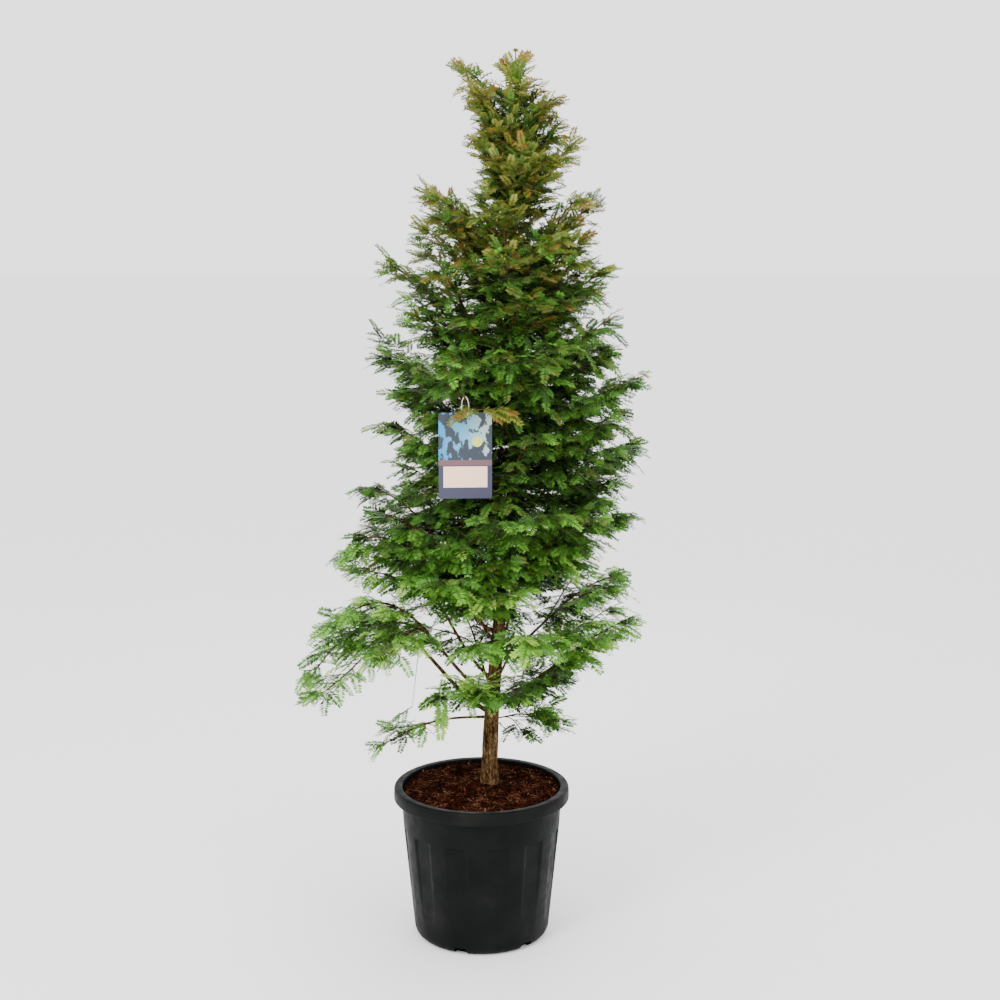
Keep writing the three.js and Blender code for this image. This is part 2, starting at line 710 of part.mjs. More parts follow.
function add(name, geometry, material) {
  const mesh = new THREE.Mesh(geometry, material);
  mesh.name = name;
  tree.add(mesh);
}

const trunkCutter = solidOf(trunkGeometry(CLEARANCE));
const pot = makePot();
const tie = makeTie();
const card = makeCard();
for (const solid of [pot, trunkCutter, solidOf(tie), solidOf(card)]) addObstacle(solid, "fixed");

add("pot", geometryOf(pot), blackPlastic);
add("mulch_and_root_ball", geometryOf(makeSoil()), mulch);
add("trunk", trunkGeometry(0), bark);

for (const limb of LIMBS) {
  const path = paths.get(limb.name);
  addObstacle(stemOf(path), limb.name);
  if (limb.bare === 0) continue;
  const raw = solidOf(limbGeometry(path, 0, limb.bare, LIMB.boughSides, LIMB.boughSteps));
  addObstacle(raw, "fixed");
  add(`bough_${limb.name}`, geometryOf(largestPiece(raw.subtract(trunkCutter))), bark);
}

LIMBS.forEach((limb, index) => {
  const mass = largestPiece(growMass(limb, index).subtract(trunkCutter));
  const material = limb.tip > 1600 ? highFoliage : lowFoliage;
  add(`foliage_${limb.name}`, geometryOf(mass), material);
});

add("foliage_leader", geometryOf(growLeader()), highFoliage);
add("label_tie", tie, tiePlastic);
add("label_card", card, cardFace);

export default tree;
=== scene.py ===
import math
import random

import bpy
import numpy as np
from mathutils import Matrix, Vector, noise


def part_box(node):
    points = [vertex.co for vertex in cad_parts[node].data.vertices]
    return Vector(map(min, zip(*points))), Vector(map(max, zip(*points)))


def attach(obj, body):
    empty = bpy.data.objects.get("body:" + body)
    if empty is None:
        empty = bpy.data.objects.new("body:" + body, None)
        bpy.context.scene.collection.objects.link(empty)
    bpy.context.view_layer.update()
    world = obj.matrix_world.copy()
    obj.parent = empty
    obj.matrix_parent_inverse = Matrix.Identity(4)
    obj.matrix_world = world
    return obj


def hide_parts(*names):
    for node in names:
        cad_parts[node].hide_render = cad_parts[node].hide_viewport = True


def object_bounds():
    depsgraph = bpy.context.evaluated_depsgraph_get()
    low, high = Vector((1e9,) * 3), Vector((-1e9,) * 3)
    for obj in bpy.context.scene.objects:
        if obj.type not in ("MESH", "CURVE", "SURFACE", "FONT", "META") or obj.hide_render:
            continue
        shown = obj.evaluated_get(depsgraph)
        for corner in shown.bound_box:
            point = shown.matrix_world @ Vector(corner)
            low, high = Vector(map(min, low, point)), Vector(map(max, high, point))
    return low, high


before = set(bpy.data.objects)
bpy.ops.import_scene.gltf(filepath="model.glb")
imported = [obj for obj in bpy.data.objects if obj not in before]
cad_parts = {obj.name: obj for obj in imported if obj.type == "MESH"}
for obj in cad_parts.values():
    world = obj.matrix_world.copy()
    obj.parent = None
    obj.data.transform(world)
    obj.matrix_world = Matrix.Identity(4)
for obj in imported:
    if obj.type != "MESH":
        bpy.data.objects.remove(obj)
cad_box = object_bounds()

# ------------ camera
# The plant is seen from the front, close to and from about two metres up, so that the view
# looks down on the mulch.

MM = 0.001
CAMERA_PLACE = Vector((0.0571, -4.736, 2.115))
CAMERA_DOWN = math.radians(9.1)
LENS = 57.6
SENSOR = 36.0

bpy.ops.object.select_all(action="DESELECT")
bpy.ops.object.camera_add(location=CAMERA_PLACE, rotation=(math.radians(90) - CAMERA_DOWN, 0, 0))
camera = bpy.context.object
camera.name = "camera"
camera.data.lens = LENS
camera.data.sensor_width = SENSOR
bpy.context.scene.camera = camera

# ------------ container
# A nursery container of black polypropylene, moulded in one piece with a rolled rim, a plain
# collar, twelve sunk panels down its side, and drainage notches round its foot.

POT_SIDES = 360
COLLAR_FOOT = 345.0
COLLAR_RADIUS = 240.5
UNDER_RIM = 432.0
UNDER_RIM_RADIUS = 246.0
FOOT_RADIUS = 209.0
FOOT_HEIGHT = 30.0
BASE_RADIUS = 184.0
PANEL_AZIMUTH = 252.0
PANEL_COUNT = 12
PANEL_HALF_ANGLE = 7.9
PANEL_EDGE = 0.5  # degrees
PANEL_FLAT_ANGLE = 8.2
PANEL_FOOT = 52.0
PANEL_HEAD = 346.5
PANEL_HEAD_ROUND = 3.5
PANEL_DEPTH = 5.4
PANEL_LEAST_DEPTH = 1.2
FLOOR_THICKNESS = 5.2
WALL_STEPS = 75
DRAIN_COUNT = 6
DRAIN_SIZE = (52.0, 40.0, 44.0)
DRAIN_AWAY = 204.0
DRAIN_ROUND = 6.0

# Radii and heights: under the rolled rim, up its outer face, over it, and down the inner wall.
UNDER_ROLL = [(247.5, 431.5), (252, 437), (262, 438), (265.4, 436.5), (265.8, 433.2)]
ROLL_EDGE = [(266.6, 432.2), (268.4, 432.2), (269.3, 433.4), (269.6, 437), (269.6, 450), (269.3, 460)]
ROLL_TOP = [(254, 469.6), (248, 469.2)]
INNER_WALL = [(242.8, 455), (241.4, 432), (236.5, 400), (231.2, 345), (220, 200), (206, 60), (204, 40)]


def eased(share):
    return share * share * (3 - 2 * share)


def smooth(low, high, x):
    """0 up to the low value, 1 from the high one on, and eased between them."""
    return eased(min(1.0, max(0.0, (x - low) / (high - low))))


def select_only(piece):
    bpy.ops.object.select_all(action="DESELECT")
    piece.select_set(True)
    bpy.context.view_layer.objects.active = piece


def recalculate_outside(piece):
    select_only(piece)
    bpy.ops.object.mode_set(mode="EDIT")
    bpy.ops.mesh.select_all(action="SELECT")
    bpy.ops.mesh.remove_doubles(threshold=1e-6)
    bpy.ops.mesh.normals_make_consistent(inside=False)
    bpy.ops.object.mode_set(mode="OBJECT")


def flat_grid(name, columns, rows):
    """A grid to be shaped, with its corners' places across and along it as shares."""
    bpy.ops.object.select_all(action="DESELECT")
    bpy.ops.mesh.primitive_grid_add(x_subdivisions=columns, y_subdivisions=rows, size=1)
    piece = bpy.context.object
    piece.name = name
    corners = np.zeros(len(piece.data.vertices) * 3)
    piece.data.vertices.foreach_get("co", corners)
    shares = corners.reshape(-1, 3) + 0.5
    return piece, shares[:, 0], shares[:, 1]


def set_corners(piece, corners):
    """Move a piece's corners to places given in millimetres."""
    piece.data.vertices.foreach_set("co", (np.asarray(corners) * MM).ravel())
    piece.data.update()


def quarter_round(away, z, wide, high, first, steps):
    """Corners round a quarter of an oval, from a first angle on, about a centre."""
    turns = [math.radians(first + 90 * step / steps) for step in range(steps + 1)]
    return [(away + wide * math.cos(turn), z + high * math.sin(turn)) for turn in turns]


def outer_wall_radius(z):
    if z < COLLAR_FOOT:
        share = (z - FOOT_HEIGHT) / (COLLAR_FOOT - FOOT_HEIGHT)
        return FOOT_RADIUS + (COLLAR_RADIUS - FOOT_RADIUS) * share
    share = (z - COLLAR_FOOT) / (UNDER_RIM - COLLAR_FOOT)
    return COLLAR_RADIUS + (UNDER_RIM_RADIUS - COLLAR_RADIUS) * share


# The half section, from the middle of the underside, up the outside and down the inside.
section = [(0.5, 0.0), (90.0, 0.0), (BASE_RADIUS - 14, 0.0)]
section += quarter_round(BASE_RADIUS, FOOT_HEIGHT, FOOT_RADIUS - BASE_RADIUS, FOOT_HEIGHT, -90, 8)
wall_from = len(section)
for step in range(1, WALL_STEPS + 1):
    z = FOOT_HEIGHT + (COLLAR_FOOT + 6 - FOOT_HEIGHT) * step / WALL_STEPS
    section.append((outer_wall_radius(z), z))
wall_to = len(section)
section += [(outer_wall_radius(z), z) for z in (365, 385, 405, 420, 428)]
section += UNDER_ROLL + ROLL_EDGE + quarter_round(260.6, 461, 8.4, 8.7, 0, 6)
section += ROLL_TOP + quarter_round(246.5, 465.6, 3.2, 3.4, 90, 4) + INNER_WALL
section += [(away, FLOOR_THICKNESS) for away in (BASE_RADIUS, 90.0, 0.5)]

pot, around, along = flat_grid("container", POT_SIDES, len(section) - 1)
around = around * 2 * math.pi
row = np.rint(along * (len(section) - 1)).astype(int)
radius, height = np.array(section)[row].T

# Each sunk panel is nearly flat, with soft edges, square at the top and fading out at its foot.
pitch = 360.0 / PANEL_COUNT
from_panel = (np.degrees(around) - PANEL_AZIMUTH + pitch / 2) % pitch - pitch / 2
width = PANEL_HALF_ANGLE + PANEL_EDGE
across = eased(np.clip((width - np.abs(from_panel)) / (2 * PANEL_EDGE), 0, 1))
rise = np.clip((height - PANEL_FOOT) / (COLLAR_FOOT - PANEL_FOOT), 0, 1)
shoulder = eased(np.clip((PANEL_HEAD - height) / PANEL_HEAD_ROUND, 0, 1))
flat_angle = np.radians(np.clip(from_panel, -PANEL_FLAT_ANGLE, PANEL_FLAT_ANGLE))
flatness = radius * (1 / np.cos(flat_angle) - 1)
depth = PANEL_DEPTH * rise**0.8 + PANEL_LEAST_DEPTH * np.minimum(1, rise * 6) - flatness
on_wall = (row >= wall_from) & (row < wall_to)
radius = radius - np.where(on_wall, np.maximum(depth * across * shoulder, 0), 0)
set_corners(pot, np.stack([radius * np.cos(around), radius * np.sin(around), height], 1))
recalculate_outside(pot)

bpy.ops.object.select_all(action="DESELECT")
bpy.ops.mesh.primitive_cube_add(size=1)
notch = bpy.context.object
notch.scale = Vector(DRAIN_SIZE) * MM
bpy.ops.object.transform_apply(location=False, rotation=False, scale=True)
notch.location = (DRAIN_AWAY * MM, 0, 0)
bpy.ops.object.transform_apply(location=True, rotation=False, scale=False)
bevel = notch.modifiers.new("bevel", "BEVEL")
bevel.width = DRAIN_ROUND * MM
bevel.segments = 3
bpy.ops.object.modifier_apply(modifier=bevel.name)
notches = [notch]
for step in range(1, DRAIN_COUNT):
    select_only(notch)
    bpy.ops.object.duplicate()
    notches.append(bpy.context.object)
select_only(notch)
for step, each in enumerate(notches):
    each.rotation_euler = (0, 0, math.radians(PANEL_AZIMUTH + 360 / DRAIN_COUNT * step))
    each.select_set(True)
bpy.ops.object.join()
bpy.ops.object.transform_apply(location=True, rotation=True, scale=True)
select_only(pot)
cut = pot.modifiers.new("drains", "BOOLEAN")
cut.object = notch
cut.operation = "DIFFERENCE"
cut.solver = "EXACT"
bpy.ops.object.modifier_apply(modifier=cut.name)
bpy.data.objects.remove(notch)
select_only(pot)
bpy.ops.object.shade_smooth_by_angle(angle=math.radians(38))


def new_material(name, color, roughness, shine=None):
    material = bpy.data.materials.new(name)
    material.use_nodes = True
    shader = material.node_tree.nodes["Principled BSDF"]
    shader.inputs["Base Color"].default_value = (*color, 1)
    shader.inputs["Roughness"].default_value = roughness
    if shine is None:
        shine = 0.5 if roughness < 0.5 else 0.2
    shader.inputs["Specular IOR Level"].default_value = shine
    return material, material.node_tree, shader


def add_place(tree, stretch=(1, 1, 1), shift=(0, 0, 0)):
    """Where on the object a point lies, stretched and then shifted."""
    place = tree.nodes.new("ShaderNodeTexCoord")
    mapping = tree.nodes.new("ShaderNodeMapping")
    mapping.inputs["Location"].default_value = shift
    mapping.inputs["Scale"].default_value = stretch
    tree.links.new(place.outputs["Object"], mapping.inputs["Vector"])
    return mapping.outputs["Vector"]


def add_noise(tree, scale, detail=4.0, stretch=(1, 1, 1)):
    pattern = tree.nodes.new("ShaderNodeTexNoise")
    pattern.inputs["Scale"].default_value = scale
    pattern.inputs["Detail"].default_value = detail
    tree.links.new(add_place(tree, stretch), pattern.inputs["Vector"])
    return pattern.outputs["Fac"]


def add_ramp(tree, factor, stops):
    ramp = tree.nodes.new("ShaderNodeValToRGB")
    elements = ramp.color_ramp.elements
    while len(elements) < len(stops):
        elements.new(0.5)
    for element, (position, color) in zip(elements, stops):
        element.position = position
        element.color = (*color, 1)
    tree.links.new(factor, ramp.inputs["Fac"])
    return ramp.outputs["Color"]


def add_colors(tree, shader, factor, stops):
    tree.links.new(add_ramp(tree, factor, stops), shader.inputs["Base Color"])


def add_bump(tree, shader, heights, strength, distance):
    bump = tree.nodes.new("ShaderNodeBump")
    bump.inputs["Strength"].default_value = strength
    bump.inputs["Distance"].default_value = distance
    tree.links.new(heights, bump.inputs["Height"])
    tree.links.new(bump.outputs["Normal"], shader.inputs["Normal"])


def dress(piece, material):
    piece.data.materials.clear()
    piece.data.materials.append(material)


black_plastic, tree, shader = new_material("black_plastic", (0.018, 0.019, 0.019), 0.5, 0.055)
DUSTY_BLACK = [
    (0.35, (0.0025, 0.0028, 0.0028)),
    (0.60, (0.0042, 0.0046, 0.0046)),
    (0.78, (0.009, 0.009, 0.008)),
]
add_colors(tree, shader, add_noise(tree, 9.0, 6.0), DUSTY_BLACK)
WORN_ROUGHNESS = [(0.3, (0.40, 0.40, 0.40)), (0.75, (0.62, 0.62, 0.62))]
worn = add_ramp(tree, add_noise(tree, 30.0, 5.0), WORN_ROUGHNESS)
tree.links.new(worn, shader.inputs["Roughness"])
add_bump(tree, shader, add_noise(tree, 420.0, 2.0), 0.25, 0.0006)
dress(pot, black_plastic)
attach(pot, "root")
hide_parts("pot")

# ------------ mulch
# The root ball is topped with coir and shredded bark: a lumpy, dark red-brown bed, with loose
# fibres and chips pressed into it at all angles.

MULCH_LEVEL = 452.0
MULCH_RADIUS = 240.0
MULCH_SKIRT = 60.0  # how far the bed's edge goes down behind the wall
SKIRT_FROM = 0.94
LUMP_SIZE = 55.0
LUMP_RISE = 6.5
CRUMB_SIZE = 9.0
CRUMB_RISE = 2.4
EDGE_RISE = 4.0
MOUND_RISE = 15.0
MOUND_RADIUS = 75.0
TRUNK_BASE = Vector((24.0, 25.0, 0.0))
UP = Vector((0, 0, 1))


def level(angle):
    """The level direction at an angle round the plant, in radians."""
    return Vector((math.cos(angle), math.sin(angle), 0))


def from_trunk(x, y):
    return math.hypot(x - TRUNK_BASE.x, y - TRUNK_BASE.y)


def mulch_height(x, y):
    """Lumps and crumbs, higher along the edge, and a smooth mound round the trunk."""
    lump = noise.fractal(Vector((x, y, 0)) / LUMP_SIZE, 1.0, 2.0, 4)
    crumb = noise.fractal(Vector((x, y, 40)) / CRUMB_SIZE, 1.0, 2.0, 3)
    edge = EDGE_RISE * smooth(150, 235, math.hypot(x, y))
    rough = (LUMP_RISE * lump + edge) * smooth(30, 100, from_trunk(x, y))
    mound = MOUND_RISE * math.exp(-((from_trunk(x, y) / MOUND_RADIUS) ** 2))
    return MULCH_LEVEL + rough + mound + CRUMB_RISE * crumb


mulch, around, along = flat_grid("mulch_bed", 210, 96)
corners = []
for angle, share in zip((around * 2 * math.pi).tolist(), along.tolist()):
    away = 0.4 + (MULCH_RADIUS - 0.4) * min(1.0, share / SKIRT_FROM)
    x, y = away * math.cos(angle), away * math.sin(angle)
    down = max(0.0, share - SKIRT_FROM) / (1 - SKIRT_FROM) * MULCH_SKIRT
    corners.append((x, y, mulch_height(x, y) - down))
set_corners(mulch, corners)
recalculate_outside(mulch)
bpy.ops.object.shade_smooth()

mulch_material, tree, shader = new_material("mulch", (0.03, 0.01, 0.005), 0.95, 0.03)
DAMP_BROWN = [(0.3, (0.004, 0.0008, 0.0003)), (0.5, (0.014, 0.003, 0.001)), (0.7, (0.04, 0.011, 0.004))]
add_colors(tree, shader, add_noise(tree, 160.0, 8.0), DAMP_BROWN)
add_bump(tree, shader, add_noise(tree, 500.0, 6.0), 1.0, 0.003)
dress(mulch, mulch_material)
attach(mulch, "root")
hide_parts("mulch_and_root_ball")


def mesh_piece(name, vertices, faces, materials, indices=None):
    """One joined mesh from arrays: vertices in millimetres, faces all of one size."""
    vertices = np.asarray(vertices, float).reshape(-1, 3) * MM
    faces = np.asarray(faces, int)
    size = faces.shape[1]
    mesh = bpy.data.meshes.new(name)
    mesh.vertices.add(len(vertices))
    mesh.vertices.foreach_set("co", vertices.ravel())
    mesh.loops.add(faces.size)
    mesh.loops.foreach_set("vertex_index", faces.ravel())
    mesh.polygons.add(len(faces))
    mesh.polygons.foreach_set("loop_start", np.arange(len(faces)) * size)
    mesh.polygons.foreach_set("loop_total", np.full(len(faces), size))
    for material in materials:
        mesh.materials.append(material)
    if indices is not None:
        mesh.polygons.foreach_set("material_index", np.asarray(indices, int))
    mesh.update(calc_edges=True)
    mesh.validate()
    piece = bpy.data.objects.new(name, mesh)
    bpy.context.collection.objects.link(piece)
    return piece


CHIP_COLORS = [
    ("bark_chip_dark", (0.006, 0.0012, 0.0004)),
    ("bark_chip_red", (0.032, 0.007, 0.002)),
    ("bark_chip_brown", (0.068, 0.020, 0.008)),
    ("coir_fibre_tan", (0.17, 0.075, 0.038)),
]
CHIP_COUNT = 8000
FIBRE_SHARE = 0.45
FIBRE_LENGTH, FIBRE_WIDTH = (12, 42), (0.5, 1.1)
CHIP_LENGTH, CHIP_WIDTH, CHIP_THICKNESS = (6, 22), (1.4, 4.2), (0.6, 1.7)
CLEAR_OF_TRUNK = 31.0
chip_materials = [new_material(name, color, 0.9, 0.03)[0] for name, color in CHIP_COLORS]
chance = random.Random(4127)
vertices, faces, tints = [], [], []
for _ in range(CHIP_COUNT):
    away = (MULCH_RADIUS - 6) * math.sqrt(chance.uniform(0, 1))
    angle = chance.uniform(0, 2 * math.pi)
    x, y = away * math.cos(angle), away * math.sin(angle)
    if from_trunk(x, y) < CLEAR_OF_TRUNK:
        continue
    fibre = chance.random() < FIBRE_SHARE
    length = chance.uniform(*(FIBRE_LENGTH if fibre else CHIP_LENGTH))
    wide = chance.uniform(*(FIBRE_WIDTH if fibre else CHIP_WIDTH))
    thick = wide if fibre else chance.uniform(*CHIP_THICKNESS)
    heading = chance.uniform(0, 2 * math.pi)
    tilt = chance.gauss(0, 0.22 if fibre else 0.3)
    along = level(heading) * math.cos(tilt) + UP * math.sin(tilt)
    aside = (level(heading + math.pi / 2) + UP * chance.gauss(0, 0.35)).normalized()
    above = along.cross(aside)
    raised = chance.uniform(0.2, 2.2) + abs(math.sin(tilt)) * length * 0.25
    middle = Vector((x, y, mulch_height(x, y) + raised))
    ends = (middle - along * length / 2, middle + along * length / 2)
    if any(math.hypot(*end.xy) > MULCH_RADIUS - 2 for end in ends):
        continue
    bow = above * chance.uniform(-0.12, 0.12) * length
    start = len(vertices)
    for share, narrow, bowed in ((-0.5, 0.5, 0), (0.0, 1.0, 1), (0.5, 0.45, 0)):
        centre = middle + along * share * length + bow * bowed
        for turn in (90, 210, 330):
            turn = math.radians(turn)
            arm = aside * wide * narrow * math.cos(turn) + above * thick * narrow * math.sin(turn)
            vertices.append(centre + arm)
    for first in (start, start + 3):
        for k in range(3):
            a, b = first + k, first + (k + 1) % 3
            faces.append((a, a + 3, b + 3, b))
    pale = smooth(-0.25, 0.45, noise.noise(Vector((x, y, 70)) / 42.0))
    weights = (0.45 - 0.3 * pale, 0.33, 0.12 + 0.25 * pale, 0.04 + 0.16 * pale)
    tints += [chance.choices((0, 1, 2, 3), weights)[0]] * 6
chips = mesh_piece("mulch_chips", vertices, faces, chip_materials, tints)
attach(chips, "root")

# ------------ trunk
# One straight leader of soft, stringy, red-brown bark in long upright ridges and fissures. It
# leans a little to the right out of a slight root flare, and tapers all the way to its tip.

TRUNK_FOOT = 453.3
TRUNK_TIP = 2520.0
TRUNK_BASE_RADIUS = 25.5
TRUNK_TIP_RADIUS = 2.6
TRUNK_TAPER = 1.22
TRUNK_FLARE = 5.0
TRUNK_FLARE_HEIGHT = 45.0
TRUNK_LEAN = 77.0
TRUNK_LEAN_HEIGHT = 1200.0


def trunk_axis(z):
    leaned = smooth(0, TRUNK_LEAN_HEIGHT, z - TRUNK_FOOT)
    return Vector((TRUNK_BASE.x + TRUNK_LEAN * leaned, TRUNK_BASE.y * (1 - leaned), z))


def trunk_radius(z):
    share = min(1.0, max(0.0, (z - TRUNK_FOOT) / (TRUNK_TIP - TRUNK_FOOT)))
    flare = TRUNK_FLARE * math.exp(-(z - TRUNK_FOOT) / TRUNK_FLARE_HEIGHT)
    return TRUNK_TIP_RADIUS + (TRUNK_BASE_RADIUS - TRUNK_TIP_RADIUS) * (1 - share) ** TRUNK_TAPER + flare


def bark_relief(angle, z, radius):
    """Long upright ridges and fissures that split and join."""
    wander = 0.35 * noise.noise(Vector((z / 90.0, radius, 3.0)))
    around = level(angle + wander) * 2.1
    strings = noise.noise(Vector((around.x * 2.2, around.y * 2.2, z / 70.0)))
    fine = noise.noise(Vector((around.x * 6.0, around.y * 6.0, z / 28.0)))
    return radius * (0.085 * strings + 0.04 * fine)


def grid_tube(name, around_count, along_count, place):
    """A grid wrapped round into a closed tube; place(angle, share) gives each corner."""
    piece, around, along = flat_grid(name, around_count, along_count)
    turns = (around * 2 * math.pi).tolist()
    set_corners(piece, [place(angle, share) for angle, share in zip(turns, along.tolist())])
    recalculate_outside(piece)
    bpy.ops.object.mode_set(mode="EDIT")
    bpy.ops.mesh.select_all(action="DESELECT")
    bpy.ops.mesh.select_mode(type="EDGE")
    bpy.ops.mesh.select_non_manifold(extend=False, use_boundary=True)
    bpy.ops.mesh.edge_face_add()
    bpy.ops.object.mode_set(mode="OBJECT")
    recalculate_outside(piece)
    bpy.ops.object.shade_smooth_by_angle(angle=math.radians(50))
    return piece


def trunk_point(angle, share):
    z = TRUNK_FOOT + (TRUNK_TIP - TRUNK_FOOT) * share**1.25
    radius = trunk_radius(z)
    buttress = 1.6 * math.cos(3 * angle + 0.8) * math.exp(-(z - TRUNK_FOOT) / 60.0)
    out = radius + buttress + bark_relief(angle, z, radius)
    return trunk_axis(z) + level(angle) * out


trunk = grid_tube("trunk_bark", 64, 340, trunk_point)

# The bark's pattern is half long strings and half shorter flakes.
bark, tree, shader = new_material("bark", (0.1, 0.05, 0.025), 0.9, 0.05)
mix = tree.nodes.new("ShaderNodeMix")
mix.inputs["Factor"].default_value = 0.5
tree.links.new(add_noise(tree, 95.0, 8.0, (1, 1, 0.16)), mix.inputs["A"])
tree.links.new(add_noise(tree, 170.0, 8.0, (1, 1, 0.55)), mix.inputs["B"])
bark_pattern = mix.outputs["Result"]
BARK_COLORS = [
    (0.36, (0.004, 0.0015, 0.0005)),
    (0.46, (0.040, 0.018, 0.006)),
    (0.56, (0.108, 0.062, 0.025)),
    (0.70, (0.240, 0.178, 0.098)),
]
add_colors(tree, shader, bark_pattern, BARK_COLORS)
add_bump(tree, shader, bark_pattern, 1.0, 0.004)
dress(trunk, bark)
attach(trunk, "root")
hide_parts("trunk")

# ------------ boughs
# The boughs rise steeply from the trunk and bow out under their own foliage. Each is one
# tapering limb of the same bark, thickest at its collar.

# name: start height, azimuth, reach, tip height, arch, bare share, half width of its foliage
LIMBS = {
    "left_hanging": (678, 196, 380, 596, 34, 0.4, 52),
    "left_low": (690, 178, 606, 716, 276, 0.5, 120),
    "left_sweeping": (742, 194, 525, 955, 200, 0.45, 120),
    "left_steep": (796, 170, 460, 1148, 190, 0.45, 120),
    "left_fifth": (945, 196, 445, 1250, 110, 0.35, 125),
    "left_sixth": (1010, 166, 420, 1375, 80, 0.35, 125),
    "left_seventh": (1215, 190, 345, 1590, 60, 0, 105),
    "left_eighth": (1440, 172, 405, 1790, 50, 0, 125),
    "left_ninth": (1745, 188, 385, 2060, 40, 0, 115),
    "left_tenth": (2000, 174, 276, 2275, 24, 0, 95),
    "left_eleventh": (2205, 200, 124, 2420, 8, 0, 70),
    "left_top_tuft": (2372, 180, 168, 2638, 0, 0, 60),
    "right_lowest": (672, 340, 205, 662, 30, 0, 60),
    "right_second": (706, 22, 228, 800, 22, 0.4, 85),
    "right_strong": (738, 352, 432, 1008, 20, 0.5, 115),
    "right_fourth": (868, 14, 405, 1104, 50, 0.4, 120),
    "right_fifth": (1022, 345, 375, 1325, 58, 0.35, 120),
    "right_sixth": (1195, 10, 410, 1524, 50, 0, 125),
    "right_seventh": (1440, 349, 360, 1722, 44, 0, 120),
    "right_eighth": (1640, 12, 305, 1900, 30, 0, 110),
    "right_ninth": (1835, 350, 280, 2045, 20, 0, 95),
    "right_tenth": (2020, 8, 240, 2238, 10, 0, 85),
    "right_eleventh": (2208, 340, 192, 2412, 8, 0, 75),
    "right_twelfth": (2374, 14, 128, 2540, 4, 0, 60),
    "front_first": (712, 260, 285, 808, 52, 0, 80),
    "front_second": (800, 288, 385, 985, 84, 0.4, 120),
    "front_third": (915, 244, 400, 1160, 92, 0.4, 120),
    "front_fourth": (1086, 292, 390, 1362, 76, 0, 125),
    "front_label": (1335, 241, 420, 1790, 88, 0.75, 100),
    "front_sixth": (1560, 290, 335, 1845, 46, 0, 115),
    "front_seventh": (1850, 262, 285, 2100, 30, 0, 100),
    "front_eighth": (2180, 282, 170, 2390, 14, 0, 80),
    "back_first": (760, 112, 370, 935, 84, 0.4, 92),
    "back_second": (890, 68, 395, 1130, 84, 0.4, 120),
    "back_third": (1100, 112, 390, 1370, 70, 0, 125),
    "back_fourth": (1300, 66, 370, 1590, 56, 0, 120),
    "back_fifth": (1625, 108, 325, 1890, 42, 0, 110),
    "back_sixth": (1930, 72, 250, 2160, 26, 0, 95),
    "back_seventh": (2270, 104, 150, 2470, 12, 0, 80),
}
LEAVE_REACH = 0.33
LEAVE_RISE = 0.14
LIMB_RADIUS_PER_REACH = 0.0118
LIMB_TIP_RADIUS = 1.5
LIMB_TAPER = 0.85


class Limb:
    """A Bezier curve on four corners, with a side vector across it and a tapering radius."""

    def __init__(self, start, leave, crest, tip, radius):
        self.start, self.leave, self.crest, self.tip = start, leave, crest, tip
        self.radius_at_start = radius
        flat = tip - start
        flat.z = 0
        self.side = UP.cross(flat).normalized()
        points = [self.point(i / 24) for i in range(25)]
        self.length = sum((b - a).length for a, b in zip(points, points[1:]))

    def point(self, t):
        near, far = 1 - t, t
        inner = self.start * near**3 + self.leave * 3 * near**2 * far
        return inner + self.crest * 3 * near * far**2 + self.tip * far**3

    def tangent(self, t):
        near, far = 1 - t, t
        inner = (self.leave - self.start) * near**2 + (self.crest - self.leave) * 2 * near * far
        return (inner + (self.tip - self.crest) * far**2).normalized()

    def normal(self, t):
        return self.tangent(t).cross(self.side).normalized()

    def radius(self, t):
        return LIMB_TIP_RADIUS + (self.radius_at_start - LIMB_TIP_RADIUS) * (1 - t) ** LIMB_TAPER


def make_limb(start_height, azimuth, reach, tip_height, arch, *_):
    start = trunk_axis(start_height)
    out = level(math.radians(azimuth))
    tip = start + out * reach
    tip.z = tip_height
    crest = start + out * reach / 2
    crest.z = (start_height + tip_height) / 2 + 2 * arch
    leave = start + out * reach * LEAVE_REACH + UP * (crest.z - start_height) * LEAVE_RISE
    return Limb(start, leave, crest, tip, reach * LIMB_RADIUS_PER_REACH)


limbs = {name: make_limb(*sizes) for name, sizes in LIMBS.items()}


def bough_tube(name, limb, first, last):
    def place(angle, share):
        t = first + (last - first) * share
        radius = limb.radius(t)
        collar = 1 + 0.3 * math.exp(-t * limb.length / 26.0)
        out = radius * collar + 0.8 * bark_relief(angle, t * limb.length + 7 * radius, radius)
        return limb.point(t) + (limb.normal(t) * math.sin(angle) + limb.side * math.cos(angle)) * out

    return grid_tube(name, 16, 48, place)


for name, limb in limbs.items():
    bare = LIMBS[name][5]
    if bare > 0:
        piece = bough_tube("bough_" + name + "_bark", limb, 0.02, bare)
        dress(piece, bark)
        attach(piece, "root")
        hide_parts("bough_" + name)

# ------------ foliage
# Each limb carries side limbs, twigs and feathers. A feather is this year's green shoot, with
# two flat rows of soft needles. They grow on by the same rule from the limb to the last twig,
# and lie in nearly level shelves that droop at their edges.

SIDE_LIMB_TURN = 29.0  # degrees either side of the limb
TWIG_SPACING = 12.6
LOW_TWIG_SPACING = 21.0
LOW_CROWN = 900.0
TWIG_TURN = 152.0
TWIG_FLATNESS = 0.35
LEVEL_TWIGS = 0.7  # how far low twigs are turned into level shelves
TWIG_ANGLE = 62.0
TWIG_TIP_ANGLE = 42.0
TWIG_RISE = 0.3  # how much of its limb's rise a low twig keeps
FEATHER_SPACING = 14.0
FEATHER_LENGTH = 62.0
FEATHER_ANGLE = 54.0
FEATHER_DROOP = 12.0
FEATHER_BOW = 0.26
STRAY_TINTS = 0.2
LOWEST_SHOOT = 556.0
GOLDEN_ANGLE = 137.5

